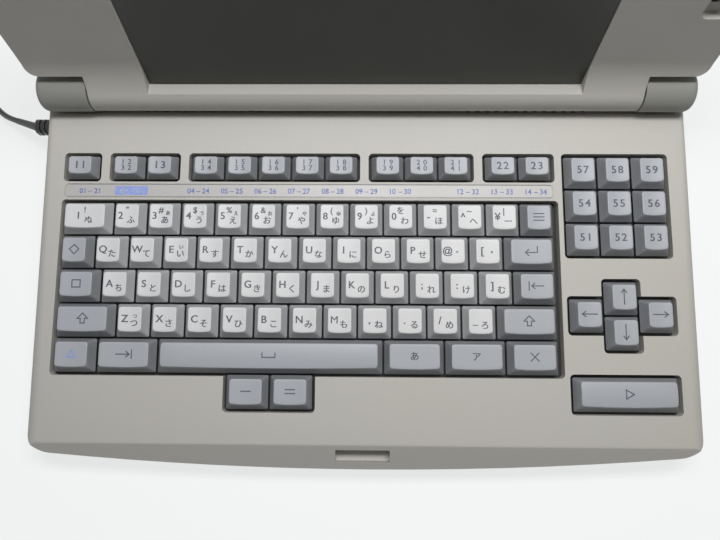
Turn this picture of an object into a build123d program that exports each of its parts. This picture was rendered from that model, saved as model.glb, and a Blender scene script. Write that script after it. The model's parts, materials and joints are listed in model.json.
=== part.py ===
"""A portable electronic word processor with a built-in printer, open for use.

The keyboard deck slopes down to the front. A screen lid turns on two barrels behind the
keyboard and folds down over the keys. Behind the lid stands the printer housing, with its
platen, print carriage, paper slot and hinged cover. A mains lead leaves the left side.

X runs along the width, -Y is the user's side, +Z is up and the machine stands on z = 0.
All sizes are in millimetres.
"""
import os
from math import atan2, cos, pi, radians, sin, sqrt, tan

from build123d import *

# ---------------------------------------------------------------- driving dimensions
# case
CASE_WIDTH = 367.0
CASE_DEPTH = 335.0
CREASE_HEIGHT = 29.87       # height of the deck where it breaks down to the front face
DECK_TILT = 4.5             # slope of the keyboard deck, degrees
NOSE_RUN = 13.5             # depth of the sloped front face at the middle
NOSE_ANGLE = 39.2           # slope of that face, degrees
FRONT_BOW = 9.0             # how far the middle of the front edge stands ahead of its ends
CORNER_RADIUS = 15.0
REAR_CORNER_RADIUS = 8.0
SIDE_ROUND_FRONT = 9.0      # rounding of the deck's long edges at the front
SIDE_ROUND_REAR = 4.0       # the same at the hinge, and along the housing
HOUSING_RISE = 22.0         # printer housing above the deck plane
HOUSING_SLANT = 32.0        # lean of the housing's front face, degrees
WALL = 2.5
SEAM_HEIGHT = 16.0          # where the lower case meets the upper case
FOOT_HEIGHT = 3.0
FOOT_RADIUS = 8.0

# keyboard
KEY_PITCH = 19.05
KEY_GAP = 1.05
KEY_HEIGHT = 6.5
KEY_SINK = 2.0              # key skirts start this far under the deck surface
KEY_TOP_INSET = 2.7
KEY_TOP_BACK_INSET = 1.7
KEY_TOP_FRONT_INSET = 3.4
KEY_WALL = 1.2
KEY_DISH = 0.6
FUNCTION_KEY_DEPTH = 14.3
FUNCTION_GROUP_GAP = 0.375  # in key pitches
PAD_GAP = 1 / 3             # in key pitches, between the main block and the key pad
FRONT_MARGIN = 17.6         # crease to the nearest keys
FUNCTION_MARGIN = 12.8      # number row to the function row
WELL_FLOOR = 6.5            # depth of the key plate under the deck surface
WELL_MARGIN = 1.2
WELL_RIGHT_ROOM = 1.4       # more margin at the right of the main block
WELL_WALL = 1.6
PLATE_THICKNESS = 1.2
LABEL_RECESS = 0.5
LABEL_DEPTH = 8.0
LABEL_MARGIN = 2.4

# lid
HINGE_DISTANCE = 194.8      # crease to the hinge axis, along the deck
HINGE_RISE = 8.0            # hinge axis above the deck plane
BARREL_RADIUS = 11.5        # the lid's own barrel
END_BARREL_RADIUS = 12.0    # the fixed barrels at its ends
BARREL_LENGTH = 28.8
TROUGH_CLEARANCE = 2.3
LID_LEAN = 12.5             # the open lid leans this far back from upright, degrees
LID_LENGTH = 205.6          # hinge axis to the free edge
LID_SIDE_SETBACK = 1.1
LID_FRONT = 2.8             # inner face in front of the hinge axis
LID_BACK = 14.0             # outer face behind the hinge axis
LID_WALL = 2.3
LID_BLEND_RADIUS = 36.5     # hollow between the inner face and the barrel
LID_CORNER_START = 17.0     # the lid's lower corners clear the barrels
LID_EDGE_ROUND = 5.0        # rounding of the outer face's edges
SCREEN_WIDTH = 238.4
SCREEN_HEIGHT = 146.0
SCREEN_START = 7.6          # lower edge of the screen opening, from the hinge axis
SCREEN_RECESS = 0.8         # screen behind the bezel's face
HINGE_PIN_RADIUS = 3.0
RUNNING_CLEARANCE = 0.05
VENT_PITCH = 5.5
VENT_WIDTH = 3.6
VENT_ANGLE = 60.0           # middle of the slots, below the hinge axis and towards the user, degrees
VENT_HEIGHT = 5.6
VENT_COUNT = 47

# latch
LATCH_RECESS_WIDTH = 29.3
LATCH_RECESS_DEPTH = 6.9
LATCH_WIDTH = 24.0
LATCH_THICKNESS = 2.2
LATCH_TRAVEL = 2.6
CATCH_EDGE = 2.9            # crease to the recess the latch hooks under

# printer
PLATEN_RADIUS = 8.5
PLATEN_LENGTH = 216.0
PLATEN_SHAFT_RADIUS = 3.0
PLATEN_HEIGHT = 55.0
PLATEN_SETBACK = 30.5       # platen axis ahead of the rear face
GEAR_MODULE = 1.0
PLATEN_GEAR_TEETH = 24
PINION_TEETH = 12
GEAR_WIDTH = 5.0
GEAR_SLACK = 0.25           # added to the centre distance of the two gears
KNOB_RADIUS = 12.0
KNOB_WIDTH = 10.5
KNOB_FLUTES = 16
FRAME_THICKNESS = 2.0
FRAME_LEFT = -148.0
FRAME_RIGHT = 124.0
CARRIAGE_SHAFT_RADIUS = 3.0
CARRIAGE_WIDTH = 30.0
COVER_WIDTH = 272.0
COVER_DEPTH = 62.0
COVER_GAP = 0.6
PAPER_SLOT_WIDTH = 226.0
PAPER_SLOT_GAP = 7.0

# disc drive
DRIVE_WIDTH = 101.6
DRIVE_HEIGHT = 19.0
DRIVE_LENGTH = 122.0
DISC_SLOT_WIDTH = 92.0
DISC_SLOT_HEIGHT = 5.0

# mains lead
CORD_DIAMETER = 3.5
COIL_PITCH = 4.1            # between turns and between layers
COIL_MIDDLE_RADIUS = 21.0
COIL_TURNS_PER_LAYER = 3
COIL_LAYERS = 4
CONNECTOR_LENGTH = 15.5
CONNECTOR_WIDTH = 8.8
CONNECTOR_HEIGHT = 10.4
CONNECTOR_CORNER = 3.8
INLET_POSITION = 29.7       # along Y
INLET_HEIGHT = 22.0

# ---------------------------------------------------------------- derived places
HALF_WIDTH = CASE_WIDTH / 2
FRONT_Y = -CASE_DEPTH / 2
REAR_Y = CASE_DEPTH / 2
CREASE_Y = FRONT_Y + NOSE_RUN
TILT = radians(DECK_TILT)
TROUGH_RADIUS = BARREL_RADIUS + TROUGH_CLEARANCE
DECK_END = HINGE_DISTANCE - sqrt(TROUGH_RADIUS**2 - HINGE_RISE**2)
LID_HALF_WIDTH = HALF_WIDTH - LID_SIDE_SETBACK
BARREL_END = LID_HALF_WIDTH
BARREL_START = BARREL_END - BARREL_LENGTH
KEY_AREA_WIDTH = (14.5 + PAD_GAP + 3) * KEY_PITCH
BLOCK_LEFT = -KEY_AREA_WIDTH / 2
PAD_LEFT = BLOCK_LEFT + (14.5 + PAD_GAP) * KEY_PITCH
BLOCK_TOP = FRONT_MARGIN + 6 * KEY_PITCH
FUNCTION_TOP = BLOCK_TOP + FUNCTION_MARGIN + FUNCTION_KEY_DEPTH
PAD_BOTTOM = FUNCTION_TOP - 3 * KEY_PITCH
ARROW_CENTRE = (PAD_BOTTOM + FRONT_MARGIN + KEY_PITCH) / 2
PLATEN_Y = REAR_Y - PLATEN_SETBACK
FLOOR_TOP = FOOT_HEIGHT + WALL


def deck_point(v, w):
    """Y and Z of a point v behind the crease and w above the deck surface."""
    return (CREASE_Y + v * cos(TILT) - w * sin(TILT), CREASE_HEIGHT + v * sin(TILT) + w * cos(TILT))


AXIS_Y, AXIS_Z = deck_point(HINGE_DISTANCE, HINGE_RISE)
DECK_FRAME = Pos(0, CREASE_Y, CREASE_HEIGHT) * Rot(DECK_TILT, 0, 0)
LID_FRAME = Pos(0, AXIS_Y, AXIS_Z) * Rot(90 - LID_LEAN, 0, 0)


def span(x, y, z):
    """A box from three (low, high) pairs."""
    size = [high - low for low, high in (x, y, z)]
    centre = [(high + low) / 2 for low, high in (x, y, z)]
    return Pos(*centre) * Box(*size)


def rod(start, end, radius):
    """A round bar along X; start and end are points with the same Y and Z."""
    length = end[0] - start[0]
    return Pos((start[0] + end[0]) / 2, start[1], start[2]) * Rot(0, 90, 0) * Cylinder(radius, length)


def across(profile, half_width):
    """A side-view profile carried across the width, to both sides of the middle."""
    return Pos(-half_width, 0, 0) * extrude(Plane.YZ * profile, 2 * half_width)


def nearest_vertex(sketch, point):
    """The sketch's corner that lies nearest to a point."""
    return min(sketch.vertices(), key=lambda vertex: (vertex.center() - Vector(*point)).length)


def group(solids):
    """Several separate solids as one node."""
    return Compound([solid for item in solids for solid in item.solids()])


# ---------------------------------------------------------------- case
def case_profile():
    """Side view of the closed case: nose, deck, hinge trough and printer housing."""
    front = FRONT_Y - 2
    nose_foot = (front, CREASE_HEIGHT - (NOSE_RUN + 2) * tan(radians(NOSE_ANGLE)))
    deck_edge = deck_point(DECK_END, 0)
    trough_low = deck_point(HINGE_DISTANCE, HINGE_RISE - TROUGH_RADIUS)
    trough_end = deck_point(
        HINGE_DISTANCE + TROUGH_RADIUS * cos(radians(40)), HINGE_RISE - TROUGH_RADIUS * sin(radians(40))
    )
    pocket_end = HINGE_DISTANCE + LID_BACK + 4.9
    pocket_corner = deck_point(pocket_end, HINGE_RISE - 1.5)
    slant = (HOUSING_RISE - HINGE_RISE + 1.5) * tan(radians(HOUSING_SLANT))
    housing_front = deck_point(pocket_end + slant, HOUSING_RISE)
    rear_run = (REAR_Y - housing_front[0]) / cos(TILT)
    housing_rear = (REAR_Y, housing_front[1] + rear_run * sin(TILT))
    outline = [
        Polyline((front, FOOT_HEIGHT), nose_foot, deck_point(0, 0), deck_edge),
        ThreePointArc(deck_edge, trough_low, trough_end),
        Polyline(
            trough_end,
            pocket_corner,
            housing_front,
            housing_rear,
            (REAR_Y, FOOT_HEIGHT),
            (front, FOOT_HEIGHT),
        ),
    ]
    profile = make_face(outline)
    roundings = [(deck_point(0, 0), 3.0), (deck_edge, 3.0), (housing_front, 2.8), (housing_rear, 8.0)]
    for corner, radius in roundings:
        profile = fillet(nearest_vertex(profile, (*corner, 0)), radius)
    return profile


def case_plan():
    """Top view of the case, with its bowed front edge; it runs on past the rear wall."""
    corner_y = FRONT_Y + FRONT_BOW
    rear = REAR_Y + 6
    front = ThreePointArc((-HALF_WIDTH, corner_y), (0, FRONT_Y), (HALF_WIDTH, corner_y))
    sides = Polyline(
        (HALF_WIDTH, corner_y), (HALF_WIDTH, rear), (-HALF_WIDTH, rear), (-HALF_WIDTH, corner_y)
    )
    plan = make_face([front, sides])
    for side in (-1, 1):
        plan = fillet(nearest_vertex(plan, (side * HALF_WIDTH, corner_y, 0)), CORNER_RADIUS)
    return plan


def edge_rounder(side, front, rear, top, inset):
    """What the rounding takes off a long upper edge, in the deck's frame.

    front and rear are pairs of v and radius. Between them the radius changes evenly, and every
    cross-section stays tangent to the side and to the surface at height top.
    """
    squares = []
    circles = []
    for v, radius in (front, rear):
        origin = (side * (HALF_WIDTH - radius), v, top - radius)
        section = Plane(origin=origin, z_dir=(0, 1, 0), x_dir=(side, 0, 0))
        centre = (radius + 5) / 2
        squares.append(section * Pos(centre, -side * centre) * Rectangle(radius + 5, radius + 5))
        circles.append(section * Circle(radius - inset))
    return loft(squares, ruled=True) - loft(circles, ruled=True)


def rear_corner_rounder(side, inset):
    """What the rounding takes off an upright rear corner."""
    x_centre = side * (HALF_WIDTH - REAR_CORNER_RADIUS)
    y_centre = REAR_Y - REAR_CORNER_RADIUS
    corner = span(sorted((x_centre, side * (HALF_WIDTH + 5))), (y_centre, REAR_Y + 5), (-5, 120))
    return corner - Pos(x_centre, y_centre, 57) * Cylinder(REAR_CORNER_RADIUS - inset, 140)


def case_body(inset):
    """The whole outer form of the case, or the form of its inside when inset by a wall."""
    profile = case_profile()
    plan = case_plan()
    if inset:
        profile = offset(profile, -inset, kind=Kind.INTERSECTION)
        plan = offset(plan, -inset)
    body = across(profile, HALF_WIDTH + 1) & extrude(plan, 120)
    for side in (-1, 1):
        deck_round = edge_rounder(side, (-20, SIDE_ROUND_FRONT), (DECK_END + 2.5, SIDE_ROUND_REAR), 0, inset)
        housing_ends = ((HINGE_DISTANCE + 13.5, SIDE_ROUND_REAR), (CASE_DEPTH + 20, SIDE_ROUND_REAR))
        housing_round = edge_rounder(side, *housing_ends, HOUSING_RISE, inset)
        body -= DECK_FRAME * deck_round
        body -= DECK_FRAME * housing_round
        body -= rear_corner_rounder(side, inset)
    return body


def well(x_units, v_range, margin, left=None):
    """One rounded key well; x in key pitches from the block's left edge, v in millimetres."""
    origin = BLOCK_LEFT if left is None else left
    low = origin + x_units[0] * KEY_PITCH - margin
    high = origin + x_units[1] * KEY_PITCH + margin
    near = v_range[0] - margin
    far = v_range[1] + margin
    return Pos((low + high) / 2, (near + far) / 2) * RectangleRounded(high - low, far - near, 2.4)


def function_groups():
    """Start and key count of each group in the function row, in key pitches."""
    start = 0.0
    groups = []
    for count in (1, 2, 5, 3, 2):
        groups.append((start, count))
        start += count + FUNCTION_GROUP_GAP
    return groups


def key_wells():
    """The outline of every key well, seen from above the deck."""
    row = [FRONT_MARGIN + index * KEY_PITCH for index in range(7)]
    wells = well((0, 14.5 + WELL_RIGHT_ROOM / KEY_PITCH), (row[1], row[6]), WELL_MARGIN)
    wells += well((5.0, 7.5), (row[0], row[1] + 8), WELL_MARGIN)
    for start, count in function_groups():
        wells += well((start, start + count), (FUNCTION_TOP - FUNCTION_KEY_DEPTH, FUNCTION_TOP), WELL_MARGIN)
    wells += well((0, 3), (PAD_BOTTOM, FUNCTION_TOP), WELL_MARGIN, PAD_LEFT)
    half_key = KEY_PITCH / 2
    wells += well((0, 3), (ARROW_CENTRE - half_key, ARROW_CENTRE + half_key), WELL_MARGIN, PAD_LEFT)
    wells += well((1, 2), (ARROW_CENTRE - KEY_PITCH, ARROW_CENTRE + KEY_PITCH), WELL_MARGIN, PAD_LEFT)
    wells += well((0, 3), (row[0], row[1]), WELL_MARGIN, PAD_LEFT)
    return wells


SCREW_SPOTS = [
    (side * (HALF_WIDTH - inset), y)
    for inset, y in ((6.5, FRONT_Y + 57.5), (6.5, 62.0), (25.5, REAR_Y - 7.5))
    for side in (-1, 1)
]
KNOB_X = HALF_WIDTH - KNOB_WIDTH - 0.8
NOTCH = ((KNOB_X - 2.2, HALF_WIDTH + 5), (PLATEN_Y - 17, PLATEN_Y + 17), (PLATEN_HEIGHT - 16, 120))
COVER_REAR = (PLATEN_Y + 6.6 + HOUSING_RISE * sin(TILT) - CREASE_Y) / cos(TILT)
COVER_FRONT = COVER_REAR - COVER_DEPTH
COVER_LEFT = FRAME_LEFT - 2
DRIVE_Y = (-60.0, -60.0 + DRIVE_WIDTH)
DRIVE_Z = (FLOOR_TOP + 1.5, FLOOR_TOP + 1.5 + DRIVE_HEIGHT)


def latch_pocket_boxes(grow):
    """The latch recess in the nose: its mouth, and the undercut behind the catch edge."""
    half = LATCH_RECESS_WIDTH / 2 + grow
    near = -CATCH_EDGE - LATCH_RECESS_DEPTH
    mouth = span((-half, half), (near - grow, -CATCH_EDGE + grow), (-11 - grow, 4))
    undercut = span((-half, half), (near - grow, 1.4 + grow), (-11 - grow, -5 + grow))
    return mouth + undercut


def trough_vents():
    """Slots through the hinge trough's wall, low down on the user's side."""
    first = -(VENT_COUNT - 1) / 2 * VENT_PITCH
    reach = (-TROUGH_RADIUS - WALL - 1, 1 - TROUGH_RADIUS)
    slot = span((-VENT_WIDTH / 2, VENT_WIDTH / 2), reach, (0, VENT_HEIGHT))
    slot = Rot(VENT_ANGLE, 0, 0) * Pos(0, 0, -VENT_HEIGHT / 2) * slot
    return [
        DECK_FRAME * Pos(first + index * VENT_PITCH, HINGE_DISTANCE, HINGE_RISE) * slot
        for index in range(VENT_COUNT)
    ]


def side_openings():
    """Openings through the case's sides: disc drive, switch and mains inlet."""
    right = (HALF_WIDTH - 8, HALF_WIDTH + 5)
    left = (-HALF_WIDTH - 5, -HALF_WIDTH + 6)
    drive = span(right, (DRIVE_Y[0] - 0.8, DRIVE_Y[1] + 0.8), (DRIVE_Z[0] - 0.6, DRIVE_Z[1] + 0.6))
    inlet = span(
        left,
        (INLET_POSITION - CONNECTOR_WIDTH / 2 - 1, INLET_POSITION + CONNECTOR_WIDTH / 2 + 1),
        (INLET_HEIGHT - CONNECTOR_HEIGHT / 2 - 1, INLET_HEIGHT + CONNECTOR_HEIGHT / 2 + 1),
    )
    switch = span(left, (SWITCH_Y - 9, SWITCH_Y + 9), (SWITCH_Z - 5, SWITCH_Z + 5))
    return [drive, inlet, switch]


SWITCH_Y = 92.0
SWITCH_Z = 44.0


def screw_bosses(low, high, radius):
    """Posts for the case screws, between two heights."""
    return [Pos(x, y, (low + high) / 2) * Cylinder(radius, high - low) for x, y in SCREW_SPOTS]


def make_cases():
    """The lower and upper case shells, parted at the seam."""
    outer = case_body(0)
    shell = outer - case_body(WALL)
    below = span((-300, 300), (-300, 300), (-10, SEAM_HEIGHT))
    bottom = shell & below
    top = shell - below

    wells = key_wells()
    walls = extrude(offset(wells, WELL_WALL), -WELL_FLOOR + 1)
    top += DECK_FRAME * Pos(0, 0, -1) * walls
    top += (DECK_FRAME * latch_pocket_boxes(1.6)) & outer
    notch_walls = span(
        (NOTCH[0][0] - WALL, HALF_WIDTH), (NOTCH[1][0] - WALL, NOTCH[1][1] + WALL), (NOTCH[2][0] - WALL, 100)
    )
    top += notch_walls & outer
    ledge_v = (COVER_FRONT - 4, COVER_FRONT + 4)
    ledge_x = (COVER_LEFT - 4, COVER_LEFT + COVER_WIDTH + 4)
    ledge = span(ledge_x, ledge_v, (HOUSING_RISE - 5, HOUSING_RISE - 2.6))
    ledge += span(ledge_x, (COVER_FRONT - 4, COVER_FRONT - 1), (HOUSING_RISE - 5, HOUSING_RISE - 1))
    top += DECK_FRAME * ledge
    for boss in screw_bosses(SEAM_HEIGHT, 110, 3.9):
        top += boss & outer
    for boss in screw_bosses(FOOT_HEIGHT, SEAM_HEIGHT, 3.9):
        bottom += boss

    top -= DECK_FRAME * extrude(Pos(0, 0, -WELL_FLOOR - 0.5) * wells, WELL_FLOOR + 3)
    label = well((0, 14.5), (BLOCK_TOP + LABEL_MARGIN, BLOCK_TOP + LABEL_MARGIN + LABEL_DEPTH), 0)
    top -= DECK_FRAME * extrude(Pos(0, 0, -LABEL_RECESS) * label, 3)
    top -= DECK_FRAME * latch_pocket_boxes(0)
    top -= trough_vents()
    top -= span(*NOTCH)
    cover_x = (COVER_LEFT, COVER_LEFT + COVER_WIDTH)
    slot_end = COVER_REAR + PAPER_SLOT_GAP
    cover_hole = span(cover_x, (COVER_FRONT, slot_end), (HOUSING_RISE - 2.6, HOUSING_RISE + 3))
    cover_hole += span(cover_x, (COVER_FRONT + 4, slot_end), (HOUSING_RISE - 8, HOUSING_RISE + 3))
    top -= DECK_FRAME * cover_hole
    for low in (COVER_LEFT - 3.6, COVER_LEFT + COVER_WIDTH):
        high = low + 3.6
        ear = span((low, high), (COVER_AXIS_V - 4, COVER_AXIS_V + 4), (COVER_AXIS_W - 4, HOUSING_RISE - 1))
        ear -= rod((low - 1, COVER_AXIS_V, COVER_AXIS_W), (high + 1, COVER_AXIS_V, COVER_AXIS_W), 1.55)
        top += DECK_FRAME * ear
    top -= rod((NOTCH[0][0] - 6, PLATEN_Y, PLATEN_HEIGHT), (NOTCH[0][0] + 2, PLATEN_Y, PLATEN_HEIGHT), 3.6)
    top -= side_openings()
    bottom -= side_openings()
    top -= screw_bosses(SEAM_HEIGHT - 1, SEAM_HEIGHT + 8, 1.3)
    bottom -= screw_bosses(FOOT_HEIGHT - 1, SEAM_HEIGHT + 1, 1.7)
    bottom -= screw_bosses(FOOT_HEIGHT - 1, FOOT_HEIGHT + 3, 3.0)
    return bottom, top


PAPER_CENTRE = (FRAME_LEFT + FRAME_RIGHT) / 2


def make_case_screws():
    """Pan-head screws that hold the two cases together from below."""
    shank = screw_bosses(FOOT_HEIGHT + 2.9, SEAM_HEIGHT + 7, 1.3)
    heads = screw_bosses(FOOT_HEIGHT + 0.8, FOOT_HEIGHT + 3, 2.8)
    return group([shaft + head for shaft, head in zip(shank, heads)])


def make_rubber_feet():
    """Four round feet under the lower case."""
    spots = [(side * (HALF_WIDTH - 26), y) for side in (-1, 1) for y in (FRONT_Y + 36, REAR_Y - 26)]
    foot = Pos(0, 0, FOOT_HEIGHT / 2) * Cylinder(FOOT_RADIUS, FOOT_HEIGHT)
    foot = chamfer(foot.edges().group_by(Axis.Z)[0], 0.8)
    return group([Pos(x, y, 0) * foot for x, y in spots])


def make_label_strip():
    """The printed strip that lies in the recess behind the number row."""
    label = well((0, 14.5), (BLOCK_TOP + LABEL_MARGIN, BLOCK_TOP + LABEL_MARGIN + LABEL_DEPTH), -0.15)
    return DECK_FRAME * extrude(Pos(0, 0, -LABEL_RECESS) * label, LABEL_RECESS - 0.1)


def make_keyboard_plate():
    """The steel plate under the keys; the well walls stand on it."""
    low = BLOCK_LEFT - WELL_MARGIN - WELL_WALL
    high = -low
    near = FRONT_MARGIN - WELL_MARGIN - WELL_WALL
    far = FUNCTION_TOP + WELL_MARGIN + WELL_WALL
    top = -WELL_FLOOR
    plate = DECK_FRAME * span((low, high), (near, far), (top - PLATE_THICKNESS, top))
    for boss in screw_bosses(SEAM_HEIGHT, 110, 4.4):
        plate -= boss
    return plate


# ---------------------------------------------------------------- keys
def keycap(width, depth=KEY_PITCH, dished=True):
    """One hollow key top with sloping walls; its skirt stands on the local z = 0."""
    base_x = width - KEY_GAP
    base_y = depth - KEY_GAP
    top_x = base_x - 2 * KEY_TOP_INSET
    shrink = (KEY_TOP_BACK_INSET + KEY_TOP_FRONT_INSET) * depth / KEY_PITCH
    top_y = base_y - shrink
    shift = (KEY_TOP_FRONT_INSET - KEY_TOP_BACK_INSET) * depth / KEY_PITCH / 2
    rise = KEY_HEIGHT
    outer = loft([Rectangle(base_x, base_y), Pos(0, shift, rise) * Rectangle(top_x, top_y)], ruled=True)
    inner_rise = KEY_HEIGHT - KEY_DISH - 1.3
    share = inner_rise / rise
    inner = loft(
        [
            Pos(0, 0, -0.01) * Rectangle(base_x - 2 * KEY_WALL, base_y - 2 * KEY_WALL),
            Pos(0, shift * share, inner_rise)
            * Rectangle(
                base_x - 2 * KEY_WALL - 2 * KEY_TOP_INSET * share,
                base_y - 2 * KEY_WALL - shrink * share,
            ),
        ],
        ruled=True,
    )
    cap = outer - inner
    if dished:
        dish_radius = (top_x**2 / 4 + KEY_DISH**2) / (2 * KEY_DISH)
        dish_height = KEY_HEIGHT - KEY_DISH + dish_radius
        cap -= Pos(0, shift, dish_height) * Rot(90, 0, 0) * Cylinder(dish_radius, depth)
    else:
        crown_radius = (top_y**2 / 4 + KEY_DISH**2) / (2 * KEY_DISH)
        crown = Pos(0, shift, KEY_HEIGHT - crown_radius) * Rot(0, 90, 0) * Cylinder(crown_radius, width)
        cap = cap & (crown + span((-width, width), (-depth, depth), (-1, KEY_HEIGHT - 2.2)))
    stem = span((-2, 2), (shift / 2 - 2, shift / 2 + 2), (-0.6, inner_rise + 0.2))
    return cap + stem


def place_key(cap, x, v):
    """A key top at its place in the deck, with its middle at x and v."""
    return DECK_FRAME * Pos(x, v, -KEY_SINK) * cap


def row_keys(start, widths, row, depth=KEY_PITCH, v=None, left=None, dished=True):
    """A run of keys side by side; start and widths are in key pitches."""
    middle = FRONT_MARGIN + (row + 0.5) * KEY_PITCH if v is None else v
    origin = BLOCK_LEFT if left is None else left
    keys = []
    for width in widths:
        cap = keycap(width * KEY_PITCH, depth, dished)
        keys.append(place_key(cap, origin + (start + width / 2) * KEY_PITCH, middle))
        start += width
    return keys


def make_keys():
    """Every key of the keyboard, by node name."""
    top_middle = FUNCTION_TOP - FUNCTION_KEY_DEPTH / 2
    function_rows = []
    for start, count in function_groups():
        function_rows.append(row_keys(start, [1] * count, 0, FUNCTION_KEY_DEPTH, top_middle))
    pad = []
    for index in range(3):
        pad += row_keys(0, [1, 1, 1], 0, v=PAD_BOTTOM + (index + 0.5) * KEY_PITCH, left=PAD_LEFT)
    half = KEY_PITCH / 2
    return {
        "keys_number_row": row_keys(0, [1.5] + [1] * 12, 5),
        "key_menu": row_keys(13.5, [1], 5),
        "keys_upper_row": row_keys(1, [1] * 12, 4),
        "key_return": row_keys(13, [1.5], 4),
        "keys_home_row": row_keys(1.25, [1] * 12, 3),
        "key_backspace": row_keys(13.25, [1.25], 3),
        "key_shift_left": row_keys(0, [1.75], 2),
        "keys_lower_row": row_keys(1.75, [1] * 11, 2),
        "key_shift_right": row_keys(12.75, [1.75], 2),
        "keys_mode": row_keys(0, [1], 4) + row_keys(0, [1.25], 3) + row_keys(0, [1.25], 1),
        "key_tab": row_keys(1.25, [1.75], 1),
        "key_space": row_keys(3, [6.5], 1, dished=False),
        "keys_kana": row_keys(9.5, [1.75, 1.75, 1.5], 1),
        "key_no_convert": row_keys(5, [1.25], 0),
        "key_convert": row_keys(6.25, [1.25], 0),
        "keys_function_left": function_rows[0] + function_rows[1],
        "keys_function_middle": function_rows[2],
        "keys_function_right": function_rows[3] + function_rows[4],
        "keys_page_pad": pad,
        "key_up": row_keys(1, [1], 0, v=ARROW_CENTRE + half, left=PAD_LEFT),
        "key_down": row_keys(1, [1], 0, v=ARROW_CENTRE - half, left=PAD_LEFT),
        "key_left": row_keys(0, [1], 0, v=ARROW_CENTRE, left=PAD_LEFT),
        "key_right": row_keys(2, [1], 0, v=ARROW_CENTRE, left=PAD_LEFT),
        "key_execute": row_keys(0, [3], 0, left=PAD_LEFT, dished=False),
    }


# ---------------------------------------------------------------- lid
def lid_profile():
    """Side view of the lid: slab, hollow blend and barrel. X is up the lid, Y is towards the user."""
    blend_end = sqrt((BARREL_RADIUS + LID_BLEND_RADIUS) ** 2 - (LID_FRONT + LID_BLEND_RADIUS) ** 2)
    join = atan2(LID_FRONT + LID_BLEND_RADIUS, blend_end)
    join_point = (BARREL_RADIUS * cos(join), BARREL_RADIUS * sin(join))
    half_turn = (pi / 2 - join) / 2
    blend_middle = (
        blend_end - LID_BLEND_RADIUS * sin(half_turn),
        LID_FRONT + LID_BLEND_RADIUS * (1 - cos(half_turn)),
    )
    around = (join + 3 * pi / 2) / 2
    outline = [
        Polyline((0, -BARREL_RADIUS), (10, -LID_BACK), (LID_LENGTH + 5, -LID_BACK), (LID_LENGTH + 5, LID_FRONT)),
        Line((LID_LENGTH + 5, LID_FRONT), (blend_end, LID_FRONT)),
        ThreePointArc((blend_end, LID_FRONT), blend_middle, join_point),
        ThreePointArc(
            join_point, (BARREL_RADIUS * cos(around), BARREL_RADIUS * sin(around)), (0, -BARREL_RADIUS)
        ),
    ]
    return make_face(outline)


def lid_plan(inset=0.0):
    """Front view of the lid; X is across, Y is up the lid from the hinge axis."""
    top_corner = LID_LENGTH - FRONT_BOW * 0.85
    half = LID_HALF_WIDTH
    middle_half = BARREL_START - 0.9
    top = ThreePointArc((half, top_corner), (0, LID_LENGTH), (-half, top_corner))
    sides = Polyline(
        (-half, top_corner),
        (-half, LID_CORNER_START),
        (-middle_half, LID_CORNER_START),
        (-middle_half, -20),
        (middle_half, -20),
        (middle_half, LID_CORNER_START),
        (half, LID_CORNER_START),
        (half, top_corner),
    )
    plan = make_face([top, sides])
    for side in (-1, 1):
        plan = fillet(nearest_vertex(plan, (side * half, top_corner, 0)), 9)
        plan = fillet(nearest_vertex(plan, (side * half, LID_CORNER_START, 0)), 6)
    return offset(plan, -inset) if inset else plan


def lid_body(inset):
    """The lid's outer form, or the form of its inside when inset by a wall."""
    profile = lid_profile()
    if inset:
        profile = offset(profile, -inset, kind=Kind.INTERSECTION)
    plate = extrude(Pos(0, 0, inset - LID_BACK) * lid_plan(inset), 60)
    back_edges = plate.edges().group_by(Axis.Z)[0]
    back_edges = back_edges.filter_by(lambda edge: edge.center().Y > LID_CORNER_START + 0.5)
    plate = fillet(back_edges, LID_EDGE_ROUND - inset)
    return across(profile, LID_HALF_WIDTH + 5) & plate


def latch_slot_s():
    """Place of the latch tongue up the lid, low and high, before it slides to the hook."""
    face = HINGE_DISTANCE + CATCH_EDGE + LATCH_TRAVEL + 0.3
    return (face, face + LATCH_THICKNESS)


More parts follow.
